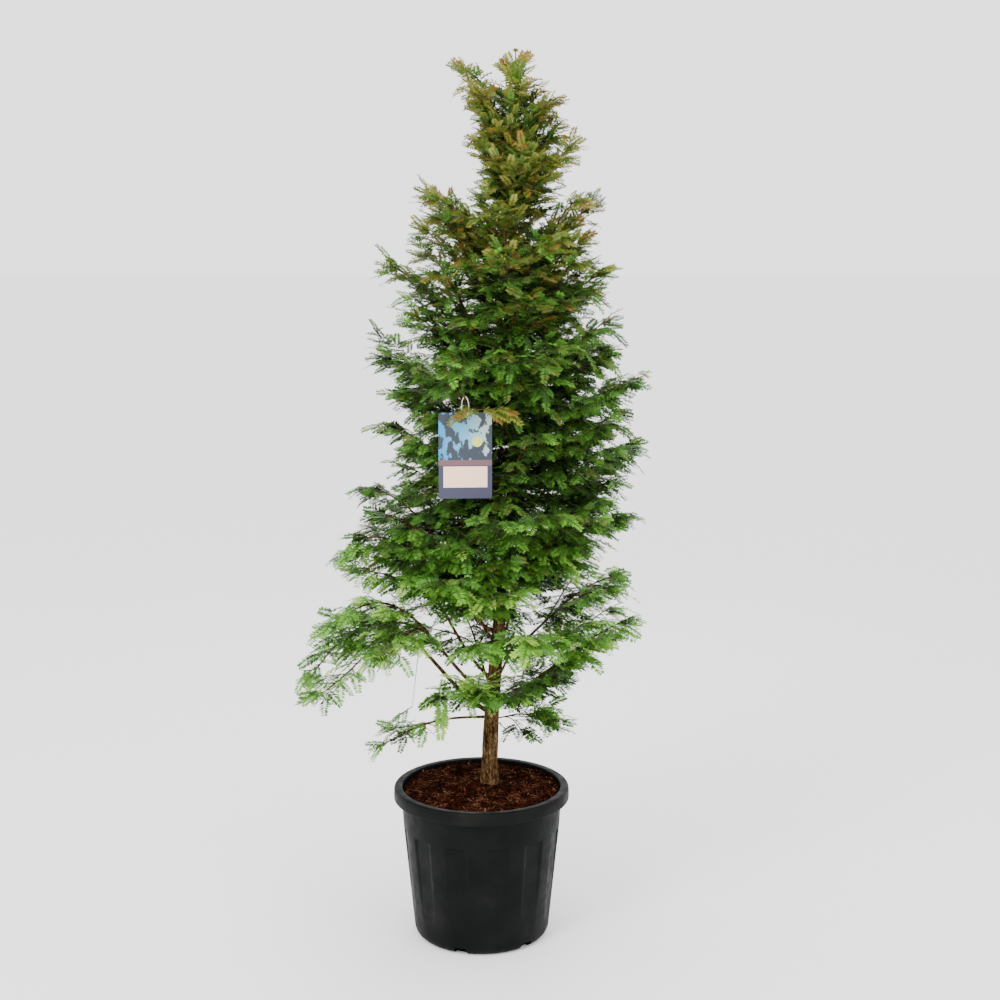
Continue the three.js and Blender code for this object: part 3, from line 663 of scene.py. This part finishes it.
# One tint for the shade inside the crown, then from the deep and fresh greens to the bronzed top.
NEEDLE_COLORS = [
    ("needles_shade", (0.005, 0.020, 0.002)),
    ("needles_deep_green", (0.024, 0.078, 0.008)),
    ("needles_green", (0.060, 0.178, 0.018)),
    ("needles_fresh_green", (0.130, 0.33, 0.034)),
    ("needles_yellow_green", (0.29, 0.50, 0.070)),
    ("needles_moss", (0.104, 0.160, 0.024)),
    ("needles_olive", (0.170, 0.190, 0.022)),
    ("needles_light_olive", (0.27, 0.275, 0.060)),
    ("needles_bronze", (0.22, 0.122, 0.022)),
]
SHADE, DEEP, GREEN, FRESH, YELLOW, MOSS, OLIVE, LIGHT_OLIVE, BRONZE = range(9)
# Painted shade: each tint's darker partner, laid on the foot of every feather as shade within its spray.
SHADED_FOOT_OF_TINT = [SHADE, SHADE, DEEP, GREEN, FRESH, GREEN, MOSS, OLIVE, OLIVE]  # darker at its foot


def crown_radius(z):
    """About how far the crown reaches at a height, for telling its skin from its inside."""
    if z < 950:
        return 360 + 0.5 * (950 - z)
    return 395 * max(0.12, 1 - (z - 950) / 2350.0)


def needle_tint(point, chance):
    """Painted shade: dark tints inside the crown, and outside green ones low down that give way to olive
    and bronze.
    """
    axis = trunk_axis(point.z)
    depth = math.hypot(point.x - axis.x, point.y - axis.y) / crown_radius(point.z)
    high = smooth(1050, 1350, point.z)
    top = smooth(1760, 2340, point.z)
    inner = 1 - smooth(0.25, 0.8, depth)
    # Painted shade: needles deep inside the crown take the shade or deep green tint.
    if chance.random() < (0.8 - 0.5 * top) * inner:
        return SHADE if chance.random() < 0.5 * (0.2 + high) else DEEP
    if chance.random() < top:
        weights = (0.22, 0.40, 0.20, 0.18) if depth > 0.6 else (0.40, 0.40, 0.12, 0.08)
        return chance.choices((MOSS, OLIVE, LIGHT_OLIVE, BRONZE), weights)[0]
    if chance.random() < high:
        return chance.choices((DEEP, GREEN, FRESH, MOSS), (0.26, 0.38, 0.18, 0.18))[0]
    return chance.choices((GREEN, FRESH, YELLOW), (0.34, 0.46, 0.20))[0]


twigs = []  # (start, end, start radius, end radius)
feathers = []  # (root, direction, face normal, length, tint, region)
low_corner, high_corner = (corner / MM for corner in cad_box)
card_low, card_high = (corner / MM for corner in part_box("label_card"))
tie_low, tie_high = (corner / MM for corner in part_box("label_tie"))


def in_box(point, low, high, margin, axes=(0, 1, 2)):
    return all(low[i] - margin < point[i] < high[i] + margin for i in axes)


CARD_MARGIN = 14.0
OPEN_BEFORE_CARD = 150.0
OPEN_BEHIND_CARD = 18.0
TIE_MARGIN = 8.0


def in_label_space(point):
    """At the tie or the card, or in front of the card, which is kept in sight."""
    near = card_low.y - OPEN_BEFORE_CARD < point.y < card_high.y + OPEN_BEHIND_CARD
    in_card = near and in_box(point, card_low, card_high, CARD_MARGIN, (0, 2))
    return in_card or in_box(point, tie_low, tie_high, TIE_MARGIN)


def in_crown(point):
    inside = in_box(point, low_corner, high_corner, 4)
    return inside and point.z > LOWEST_SHOOT and not in_label_space(point)


def path_in_crown(start, end):
    return all(in_crown(start.lerp(end, step / 4)) for step in range(5))


def level_side(direction):
    side = UP.cross(direction)
    return side.normalized() if side.length > 0.05 else Vector((1, 0, 0))


def grow_feather(root, direction, length, region, chance, tint):
    """A feather whose face looks up, turned a little about its own rib."""
    tip = root + direction * length
    if not path_in_crown(root, tip):
        return
    across = level_side(direction)
    above = direction.cross(across)
    roll = math.radians(chance.gauss(0, 26))
    face = above * math.cos(roll) + across * math.sin(roll)
    feathers.append((root, direction, face, length, tint, region))


def drooping(direction, side, angle, droop):
    turned = direction * math.cos(math.radians(angle)) + side * math.sin(math.radians(angle))
    return (turned - UP * math.sin(math.radians(droop))).normalized()


def upper_lift(z):
    """0 where shoots lie level and droop, up to 1 at the top, where they point up."""
    return smooth(1500, 2350, z)


def feather_scale(z):
    """Low, shaded shoots are longer and wider than those at the top."""
    return 1.14 - 0.28 * smooth(700, 1900, z) - 0.12 * smooth(1850, 2300, z)


def grow_twig(root, direction, length, region, chance, size, tint=None):
    """A twig with feathers alternating along it and one at its end."""
    tip = root + direction * length
    size *= feather_scale(root.z)
    if not path_in_crown(root, tip):
        return
    twigs.append((root, tip, 1.5, 0.8))
    across = level_side(direction)
    lightest = FEATHER_DROOP * (1 - 2.8 * upper_lift(root.z))
    varied = tint is None
    if varied:
        tint = needle_tint(tip, chance)
    count = max(1, round(length / (FEATHER_SPACING * feather_scale(root.z))))
    for i in range(count):
        share = (i + 0.6) / (count + 0.2)
        side = across * (1 if i % 2 else -1)
        droop = lightest + FEATHER_DROOP * chance.uniform(-0.9, 1.1)
        heading = drooping(direction, side, FEATHER_ANGLE + chance.uniform(-10, 10), droop)
        reach = FEATHER_LENGTH * size * chance.uniform(0.7, 1.1) * (1 - 0.25 * share)
        if varied and chance.random() < STRAY_TINTS:
            tint = needle_tint(tip, chance)
        grow_feather(root.lerp(tip, share), heading, reach, region, chance, tint)
    droop = lightest + FEATHER_DROOP * chance.uniform(-0.6, 0.8)
    heading = drooping(direction, across, chance.uniform(-8, 8), droop)
    grow_feather(tip, heading, FEATHER_LENGTH * size * chance.uniform(0.85, 1.1), region, chance, tint)


TIP_FEATHERS = [(-38, 6), (-16, -18), (0, 6), (20, -24), (38, 6)]  # degrees aside and down


def grow_along(limb, first, spread, region, chance):
    """Twigs leave a limb in a flattened spiral, longest at its foot, with feathers at its tip."""
    size = 0.72 + 0.28 * spread / 120
    last = 1 - 0.6 * FEATHER_LENGTH * size / limb.length
    first = min(first, last - 0.1)
    spacing = LOW_TWIG_SPACING + (TWIG_SPACING - LOW_TWIG_SPACING) * smooth(750, 1500, limb.start.z)
    count = max(3, round((last - first) * limb.length / spacing))
    lift = upper_lift(limb.start.z)
    rise = TWIG_RISE + (1 - TWIG_RISE) * lift
    fullness = TWIG_FLATNESS + 0.35 * lift
    levelled = LEVEL_TWIGS * (1 - smooth(900, 1600, limb.start.z))
    for k in range(count):
        share = k / (count - 1)
        t = first + (last - first) * share
        around = math.radians(k * TWIG_TURN + chance.uniform(-15, 15))
        tangent = limb.tangent(t)
        ahead = Vector((tangent.x, tangent.y, tangent.z * rise)).normalized()
        sideways = math.cos(around)
        sideways += math.copysign(levelled, sideways)
        outward = limb.side * sideways + UP * fullness * math.sin(around)
        angle = TWIG_ANGLE + (TWIG_TIP_ANGLE - TWIG_ANGLE) * share + chance.uniform(-10, 10)
        direction = drooping(ahead, outward.normalized(), angle, chance.uniform(-8, 6))
        length = spread * (1.05 - 0.6 * share) * chance.uniform(0.7, 1.15)
        grow_twig(limb.point(t), direction, length, region, chance, size)
    tangent = limb.tangent(1)
    kept = 0.55 if tangent.z > 0 else 0.2
    ahead = Vector((tangent.x, tangent.y, tangent.z * kept)).normalized()
    for aside, droop in TIP_FEATHERS:
        heading = drooping(ahead, limb.side, aside, droop)
        tint = needle_tint(limb.tip, chance)
        grow_feather(limb.point(last), heading, FEATHER_LENGTH * size, region, chance, tint)


def region_of(name, sizes):
    """A band of the crown and a side of it, for sharing the needles out among pieces."""
    start_height, tip_height = sizes[0], sizes[3]
    if tip_height > 2100:
        return "top"
    band = "low" if start_height < LOW_CROWN else "middle" if tip_height <= 1600 else "upper"
    side = name.split("_")[0]
    return band + "_" + ("front_and_back" if side in ("front", "back") else side)


# Above the boughs a lighter limb stands between each two of a side, turned away from both, but
# not where the crown is open near its top.
OPEN_BETWEEN = [("left", 5), ("right", 5)]
BETWEEN_REACH = 0.88
BETWEEN_TURN = 32.0
chance = random.Random(611)
grown_limbs = {name: (sizes, limbs[name]) for name, sizes in LIMBS.items()}
for side, middle in (("left", 180), ("right", 0), ("front", 270), ("back", 90)):
    group = [sizes for name, sizes in LIMBS.items() if name.startswith(side) and sizes[0] > LOW_CROWN]
    for number, (lower, upper) in enumerate(zip(group, group[1:])):
        if (side, number) in OPEN_BETWEEN:
            continue
        sizes = [(a + b) / 2 for a, b in zip(lower, upper)]
        sizes[1] = middle + chance.uniform(-BETWEEN_TURN, BETWEEN_TURN)
        sizes[2] *= BETWEEN_REACH
        sizes[5] = 0
        grown_limbs[f"{side}_between_{number}"] = (sizes, make_limb(*sizes))

stems = []  # limbs inside the foliage: (limb, from, to)
for number, (name, (sizes, limb)) in enumerate(grown_limbs.items()):
    start_height, azimuth, reach, tip_height, _, bare, spread = sizes
    region = region_of(name, sizes)
    chance = random.Random(7919 + number)
    end = 0.97
    while in_label_space(limb.point(end)):
        end -= 0.02
    stems.append((limb, bare, end))
    low = start_height < LOW_CROWN
    late = name in ("left_hanging", "right_lowest")
    first = 0.62 if late else max(bare * 0.95, 0.34 if low else 0.16)
    grow_along(limb, first, spread, region, chance)
    for turn in (-SIDE_LIMB_TURN, SIDE_LIMB_TURN):
        if name == "left_hanging" and turn > 0:
            continue
        fork = max(bare * 0.8, 0.14) + chance.uniform(0, 0.08)
        start = limb.point(fork)
        out = level(math.radians(azimuth + turn + chance.uniform(-5, 5)))
        tip = limb.start + out * reach * chance.uniform(0.78, 0.98)
        back = chance.uniform(0.15, 0.6) if tip_height < start.z else chance.uniform(-0.1, 0.35)
        tip.z = tip_height - (tip_height - start.z) * back
        span = (tip - start).length
        leave = start + limb.tangent(fork) * span * 0.3
        crest = tip - out * span * 0.3
        side_limb = Limb(start, leave, crest, tip, limb.radius(fork) * 0.7)
        if not all(in_crown(side_limb.point(step / 12)) for step in range(13)):
            continue
        stems.append((side_limb, 0, 0.97))
        grow_along(side_limb, 0.36 if low else 0.2, spread * 0.72, region, chance)

# The leader's tip stands bare above its last shoots and ends in a small bud.
LEADER_LENGTH = 140.0
LEADER_FEATHERS = 36
LEADER_LEANS = (-1.1, -0.7, -0.4, 0.45, 0.75, 1.05)
BUD_LENGTH = 7.0
chance = random.Random(2129)
leader_foot = trunk_axis(TRUNK_TIP)
leader_tip = leader_foot + UP * LEADER_LENGTH + Vector((1, 0, 0))
leader_bends = (leader_foot.lerp(leader_tip, 0.3), leader_foot.lerp(leader_tip, 0.7))
stems.append((Limb(leader_foot, *leader_bends, leader_tip, TRUNK_TIP_RADIUS), 0, 1))
for k in range(LEADER_FEATHERS):
    share = k / (LEADER_FEATHERS - 1)
    out = level(math.radians(k * GOLDEN_ANGLE))
    rise = math.radians(22 + 34 * share + chance.uniform(-12, 12))
    heading = out * math.cos(rise) + UP * math.sin(rise)
    root = leader_foot + UP * (LEADER_LENGTH * (share * 0.78 - 0.2))
    length = (100 - 32 * share) * chance.uniform(0.8, 1.1)
    grow_feather(root, heading, length, "top", chance, needle_tint(root + out * 80, chance))
for k, lean in enumerate(LEADER_LEANS):
    heading = Vector((lean, -0.15, 1)).normalized()
    root = leader_foot + UP * (66 + 5 * k)
    feathers.append((root, heading, Vector((0, -1, 0)), 62, (OLIVE, BRONZE)[k % 2], "top"))
for k in range(4):
    heading = (level(k * 1.6) + UP * 1.2).normalized()
    feathers.append((leader_tip, heading, UP.cross(heading).normalized(), BUD_LENGTH, BRONZE, "top"))

# Short shoots that leave the trunk between the limbs.
SHOOT_SPACING = 15.0
TOP_SHOOT_SPACING = 5.5
height = 1000.0
k = 0
while height < TRUNK_TIP:
    angle = math.radians(k * GOLDEN_ANGLE + chance.uniform(-20, 20))
    rise = chance.uniform(0.0, 0.5) + 0.5 * upper_lift(height)
    out = (level(angle) + UP * rise).normalized()
    length = min(165.0, 45 + crown_radius(height) * 0.45) * chance.uniform(0.5, 1.0)
    region = "top" if height > 2100 else ("upper" if height > 1600 else "middle") + "_front_and_back"
    grow_twig(trunk_axis(height), out, length, region, chance, 0.85)
    height += SHOOT_SPACING + (TOP_SHOOT_SPACING - SHOOT_SPACING) * smooth(1050, 1500, height)
    k += 1

# Low on the left a few pale new feathers hang from their bough, beside one bare twig.
FRONT = Vector((0, -1, 0.1)).normalized()
low_bough = limbs["left_low"]
new_shoot = Vector((-121, -60, 772))
# from the shoot, direction, length
NEW_FEATHERS = [
    ((0, 0, 0), (-0.02, -0.1, -1), 88),
    ((0, 0, 0), (-0.75, -0.2, -0.5), 74),
    ((0, 0, 0), (0.1, -0.3, 0.6), 52),
    ((-2, -5, -52), (0, -0.1, -1), 86),
    ((2, 3, -22), (0.08, -0.1, -1), 82),
]
twigs.append((low_bough.point(0.24), new_shoot, 1.3, 0.9))
for place, lean, length in NEW_FEATHERS:
    heading = Vector(lean).normalized()
    feathers.append((new_shoot + Vector(place), heading, FRONT, length, YELLOW, "low_left"))
sprout = trunk_axis(662) + Vector((22, -8, 0))
feathers.append((sprout, Vector((0.8, -0.1, -0.6)).normalized(), UP, 30, SHADE, "low_right"))
bare_end = low_bough.point(0.42) + Vector((-22, -8, -190))
twigs.append((low_bough.point(0.42), bare_end, 1.5, 0.8))
grow_twig(bare_end, Vector((-0.8, -0.3, -0.4)).normalized(), 60, "low_left", chance, 0.6, FRESH)

# Thick clumps of shoots stand on some boughs: pale low down, darker higher up.
# limb, from and to along it, number of twigs, how steeply they rise, their length, their tints
CLUMPS = [
    ("front_first", 0.36, 1.0, 18, 0.85, 66, (YELLOW, YELLOW, FRESH)),
    ("right_lowest", 0.55, 1.0, 12, 0.55, 56, (FRESH, FRESH, GREEN)),
    ("right_second", 0.30, 0.80, 15, 0.30, 64, (GREEN, FRESH, DEEP)),
    ("right_strong", 0.16, 0.34, 8, 0.45, 64, (GREEN, FRESH, FRESH)),
    ("right_strong", 0.42, 0.75, 14, 0.40, 80, (YELLOW, FRESH, FRESH)),
    ("left_low", 0.88, 0.97, 5, 0.05, 52, (FRESH, YELLOW, FRESH)),
    ("left_steep", 0.90, 1.0, 11, 0.05, 50, (DEEP, GREEN, GREEN)),
    ("left_sixth", 0.88, 0.98, 6, 0.15, 60, (GREEN, FRESH, GREEN)),
    ("left_seventh", 0.80, 0.99, 7, 0.10, 60, (GREEN, FRESH, OLIVE)),
    ("left_eighth", 0.60, 0.98, 16, 1.10, 84, (GREEN, DEEP, MOSS)),
    ("left_ninth", 0.55, 0.82, 12, 0.65, 58, (GREEN, OLIVE, MOSS)),
    ("left_tenth", 0.25, 0.70, 8, 1.0, 62, (OLIVE, BRONZE, MOSS)),
    ("right_tenth", 0.50, 0.92, 6, 1.0, 54, (GREEN, DEEP, MOSS)),
    ("right_fourth", 0.30, 0.70, 9, -0.30, 70, (GREEN, DEEP, FRESH)),
    ("right_fifth", 0.88, 0.98, 6, 0.10, 66, (GREEN, FRESH, DEEP)),
    ("right_sixth", 0.84, 0.98, 7, 0.15, 66, (GREEN, FRESH, GREEN)),
    ("right_seventh", 0.78, 0.98, 9, 0.30, 66, (GREEN, FRESH, OLIVE)),
]
for name, first, last, count, rise, length, tints in CLUMPS:
    limb, region = limbs[name], region_of(name, LIMBS[name])
    ahead = limb.tangent(0.5)
    for k in range(count):
        angle = math.atan2(ahead.y, ahead.x) + chance.uniform(-1.5, 1.5)
        heading = (level(angle) + UP * rise * chance.uniform(0.2, 1.6)).normalized()
        root = limb.point(first + (last - first) * k / (count - 1))
        grow_twig(root, heading, length * chance.uniform(0.7, 1.1), region, chance, 0.8, tints[k % 3])

# A bronzed shoot hangs over the top of the label.
card_top = Vector((card_high.x - 30, card_low.y - 16, card_high.z - 6))
for k in range(7):
    root = card_top + Vector((-44 + 18 * k, 0, 14 + 6 * (k % 2)))
    lean = Vector((0.55 if k > 2 else -0.5, -0.25, -0.3 + 0.12 * (k % 3))).normalized()
    feathers.append((root, lean, Vector((0, -0.6, 0.8)), 58, BRONZE if k % 2 else OLIVE, "middle_left"))
twigs.append((card_top + Vector((-50, 0, 14)), card_top + Vector((70, 0, 22)), 1.5, 1.0))

NEEDLE_PAIRS = 11
NEEDLE_LENGTH = 19.0
NEEDLE_WIDTH = 7.2
NEEDLE_ANGLE = 76.0
NEEDLE_TIP_ANGLE = 44.0
WIDEST_AT = 0.45
SLIMMER_AT_TOP = 0.14
needle_materials = [new_material(name, color, 0.55)[0] for name, color in NEEDLE_COLORS]


def needle_mesh(name, chosen, seed):
    """Two ragged rows of narrow four-sided needles on each feather's bowed rib."""
    root, along, face = (np.array([feather[i] for feather in chosen], float) for i in range(3))
    length = np.array([feather[3] for feather in chosen])
    tint = np.array([feather[4] for feather in chosen])
    across = np.cross(face, along)
    across /= np.linalg.norm(across, axis=1, keepdims=True)
    share = np.repeat((np.arange(NEEDLE_PAIRS) + 0.7) / NEEDLE_PAIRS, 2)
    side = np.tile([-1.0, 1.0], NEEDLE_PAIRS)
    span = length[:, None, None]
    scale = 0.25 + 0.75 * span / FEATHER_LENGTH
    root, along, face, across = (v[:, None, :] for v in (root, along, face, across))
    share, side = share[None, :, None], side[None, :, None]
    uneven = np.random.default_rng(seed).uniform(-1, 1, (3, len(chosen), NEEDLE_PAIRS * 2, 1))
    longest = NEEDLE_LENGTH * scale
    reach = longest * (1 - 1.1 * (share - WIDEST_AT) ** 2) * (1 + 0.13 * uneven[0])
    angle = NEEDLE_ANGLE + (NEEDLE_TIP_ANGLE - NEEDLE_ANGLE) * share**2
    lean = np.radians(angle + 7 * uneven[1])
    lift = 0.22 * uneven[2] - 0.08
    foot = root + along * share * span - face * FEATHER_BOW * share**2 * span
    out = across * side * np.sin(lean) + along * np.cos(lean) + face * lift
    slim = 1 - SLIMMER_AT_TOP * np.clip((root[:, :, 2:] - 1300) / 800, 0, 1)
    wide = (along * np.sin(lean) - across * side * np.cos(lean)) * NEEDLE_WIDTH / 2 * scale * slim
    middle = foot + out * reach * WIDEST_AT
    corners = np.stack([foot, middle - wide, foot + out * reach, middle + wide], axis=2)
    quads = np.arange(corners.size // 3).reshape(-1, 4)
    # Painted shade: the needles near each feather's foot take the darker tint of its shaded foot.
    at_foot = (share + 0.12 * uneven[1] < 0.5)[:, :, 0]
    tints = np.where(at_foot, np.array(SHADED_FOOT_OF_TINT)[tint][:, None], tint[:, None])
    return mesh_piece(name, corners, quads, needle_materials, tints.ravel())


regions = {"top": ["foliage_leader"]}
for name, sizes in LIMBS.items():
    regions.setdefault(region_of(name, sizes), []).append("foliage_" + name)
for seed, (region, nodes) in enumerate(regions.items()):
    grown = [feather for feather in feathers if feather[5] == region]
    piece = needle_mesh("needles_" + region, grown, seed)
    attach(piece, "root")
    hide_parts(*nodes)

# ------------ twigs
# The wood inside the foliage: side limbs, red-brown twigs, and the green ribs of the feathers.

STEM_SIDES = 7
STEM_STEPS = 20
TWIG_SIDES = 3


def tube_faces(start, sides):
    """The faces between the ring of corners from an index on and the ring after it."""
    return [
        (start + k, start + (k + 1) % sides, start + sides + (k + 1) % sides, start + sides + k)
        for k in range(sides)
    ]


def ring(centre, side, up, radius, sides):
    angles = [2 * math.pi * k / sides for k in range(sides)]
    return [centre + (side * math.cos(angle) + up * math.sin(angle)) * radius for angle in angles]


vertices, faces = [], []
for root, tip, thick, thin in twigs:
    side = (tip - root).orthogonal().normalized()
    up = (tip - root).cross(side).normalized()
    faces += tube_faces(len(vertices), TWIG_SIDES)
    vertices += ring(root, side, up, thick, TWIG_SIDES) + ring(tip, side, up, thin, TWIG_SIDES)
twig_bark, tree, shader = new_material("twig_bark", (0.10, 0.055, 0.028), 0.8)
TWIG_BROWNS = [(0.35, (0.06, 0.03, 0.015)), (0.65, (0.15, 0.09, 0.045))]
add_colors(tree, shader, add_noise(tree, 40.0, 3.0), TWIG_BROWNS)
fine_twigs = mesh_piece("twigs_fine", vertices, faces, [twig_bark])
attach(fine_twigs, "root")

rib_green = new_material("feather_ribs", (0.13, 0.15, 0.045), 0.6)[0]
for half, starts in (("upper", ("top", "upper")), ("lower", ("middle", "low"))):
    vertices, faces = [], []
    for root, direction, face, length, tint, region in feathers:
        if not region.startswith(starts):
            continue
        side = direction.cross(face).normalized()
        for share, radius in ((0, 0.75), (0.5, 0.6), (0.97, 0.35)):
            if share:
                faces += tube_faces(len(vertices) - TWIG_SIDES, TWIG_SIDES)
            centre = root + direction * length * share - face * FEATHER_BOW * share**2 * length
            vertices += ring(centre, side, face, radius, TWIG_SIDES)
    ribs = mesh_piece("feather_ribs_" + half, vertices, faces, [rib_green])
    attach(ribs, "root")

vertices, faces = [], []
for limb, first, last in stems:
    for step in range(STEM_STEPS + 1):
        t = first + (last - first) * step / STEM_STEPS
        if step:
            faces += tube_faces(len(vertices) - STEM_SIDES, STEM_SIDES)
        vertices += ring(limb.point(t), limb.side, limb.normal(t), limb.radius(t), STEM_SIDES)
inner_limbs = mesh_piece("limbs_in_foliage", vertices, faces, [bark])
select_only(inner_limbs)
bpy.ops.object.shade_smooth()
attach(inner_limbs, "root")

# ------------ hanging label
# A thin printed plastic card with rounded corners on a pale plastic loop. Its print is generic:
# a picture panel, a plain band and a bare pale panel.

CARD_WIDTH = 152.0
CARD_HEIGHT = 246.0
# The print's limits, as shares of the card's width and height.
PICTURE_FOOT = 0.45
BAND_FOOT = 0.385
PANEL_SIDES = (0.09, 0.91)
PANEL_ENDS = (0.13, 0.375)
DISC_PLACE = Vector((34, 0, 40))  # from the card's centre
DISC_SIZE = 15.0
card_centre = (card_low + card_high) / 2

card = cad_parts["label_card"]
card_plastic, tree, shader = new_material("card_plastic", (0.5, 0.6, 0.65), 0.4)
split = tree.nodes.new("ShaderNodeSeparateXYZ")
per_card = (1 / (CARD_WIDTH * MM), 1, 1 / (CARD_HEIGHT * MM))
from_corner = (0.5 - card_centre.x / CARD_WIDTH, 0, 0.5 - card_centre.z / CARD_HEIGHT)
tree.links.new(add_place(tree, per_card, from_corner), split.inputs["Vector"])


def within(value, low, high):
    compare = tree.nodes.new("ShaderNodeMath")
    compare.operation = "COMPARE"
    tree.links.new(value, compare.inputs[0])
    compare.inputs[1].default_value = (low + high) / 2
    compare.inputs[2].default_value = (high - low) / 2
    return compare.outputs["Value"]


def times(a, b):
    product = tree.nodes.new("ShaderNodeMath")
    product.operation = "MULTIPLY"
    tree.links.new(a, product.inputs[0])
    tree.links.new(b, product.inputs[1])
    return product.outputs["Value"]


def laid_over(below, above, mask):
    """A colour over another, both given as sockets or plain colours, where the mask is 1."""
    mix = tree.nodes.new("ShaderNodeMix")
    mix.data_type = "RGBA"
    tree.links.new(mask, mix.inputs["Factor"])
    for color, socket in ((below, mix.inputs["A"]), (above, mix.inputs["B"])):
        if isinstance(color, tuple):
            socket.default_value = (*color, 1)
        else:
            tree.links.new(color, socket)
    return mix.outputs["Result"]


across, up = split.outputs["X"], split.outputs["Z"]
SKY_COLORS = [(0.0, (0.01, 0.22, 0.50)), (0.45, (0.10, 0.34, 0.50)), (1.0, (0.40, 0.48, 0.40))]
CANOPY_EDGE = [(0.47, (0, 0, 0)), (0.51, (1, 1, 1))]
sky = add_ramp(tree, across, SKY_COLORS)
canopy = add_ramp(tree, add_noise(tree, 46.0, 6.0, (1, 1, 0.7)), CANOPY_EDGE)
picture = laid_over(sky, (0.020, 0.030, 0.045), canopy)
disc = tree.nodes.new("ShaderNodeVectorMath")
disc.operation = "DISTANCE"
disc.inputs[1].default_value = (card_centre + DISC_PLACE) * MM
tree.links.new(add_place(tree), disc.inputs[0])
picture = laid_over(picture, (0.55, 0.58, 0.10), within(disc.outputs["Value"], -MM, DISC_SIZE * MM))
print_color = laid_over((0.030, 0.030, 0.065), picture, within(up, PICTURE_FOOT, 1.2))
print_color = laid_over(print_color, (0.13, 0.065, 0.075), within(up, BAND_FOOT, PICTURE_FOOT))
panel = times(within(across, *PANEL_SIDES), within(up, *PANEL_ENDS))
print_color = laid_over(print_color, (0.95, 0.64, 0.44), panel)
tree.links.new(print_color, shader.inputs["Base Color"])
dress(card, card_plastic)

tie_material, tree, shader = new_material("tie_plastic", (0.75, 0.75, 0.7), 0.45)
add_bump(tree, shader, add_noise(tree, 300.0), 0.2, 0.0005)
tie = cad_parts["label_tie"]
dress(tie, tie_material)

# ------------ floor and light
# A plain pale floor under soft, even studio light.

bpy.ops.object.select_all(action="DESELECT")
bpy.ops.mesh.primitive_plane_add(size=200, location=(0, 0, 0))
floor = bpy.context.object
floor.name = "floor"
dress(floor, new_material("floor_white", (0.93, 0.93, 0.93), 0.8)[0])

world = bpy.data.worlds.new("studio")
bpy.context.scene.world = world
world.use_nodes = True
background = world.node_tree.nodes["Background"]
background.inputs["Color"].default_value = (1, 1, 1, 1)
background.inputs["Strength"].default_value = 2.3


def area_light(name, location, target, size, power):
    bpy.ops.object.select_all(action="DESELECT")
    bpy.ops.object.light_add(type="AREA", location=location)
    light = bpy.context.object
    light.name = name
    light.data.size = size
    light.data.energy = power
    light.rotation_euler = (Vector(target) - Vector(location)).to_track_quat("-Z", "Y").to_euler()


area_light("key", (-2.4, -3.4, 4.2), (0, 0, 1.3), 1.6, 190)
area_light("fill", (3.2, -3.0, 2.4), (0, 0, 1.2), 2.2, 40)
area_light("rim", (0.6, 3.4, 3.8), (0, 0, 1.6), 2.0, 40)
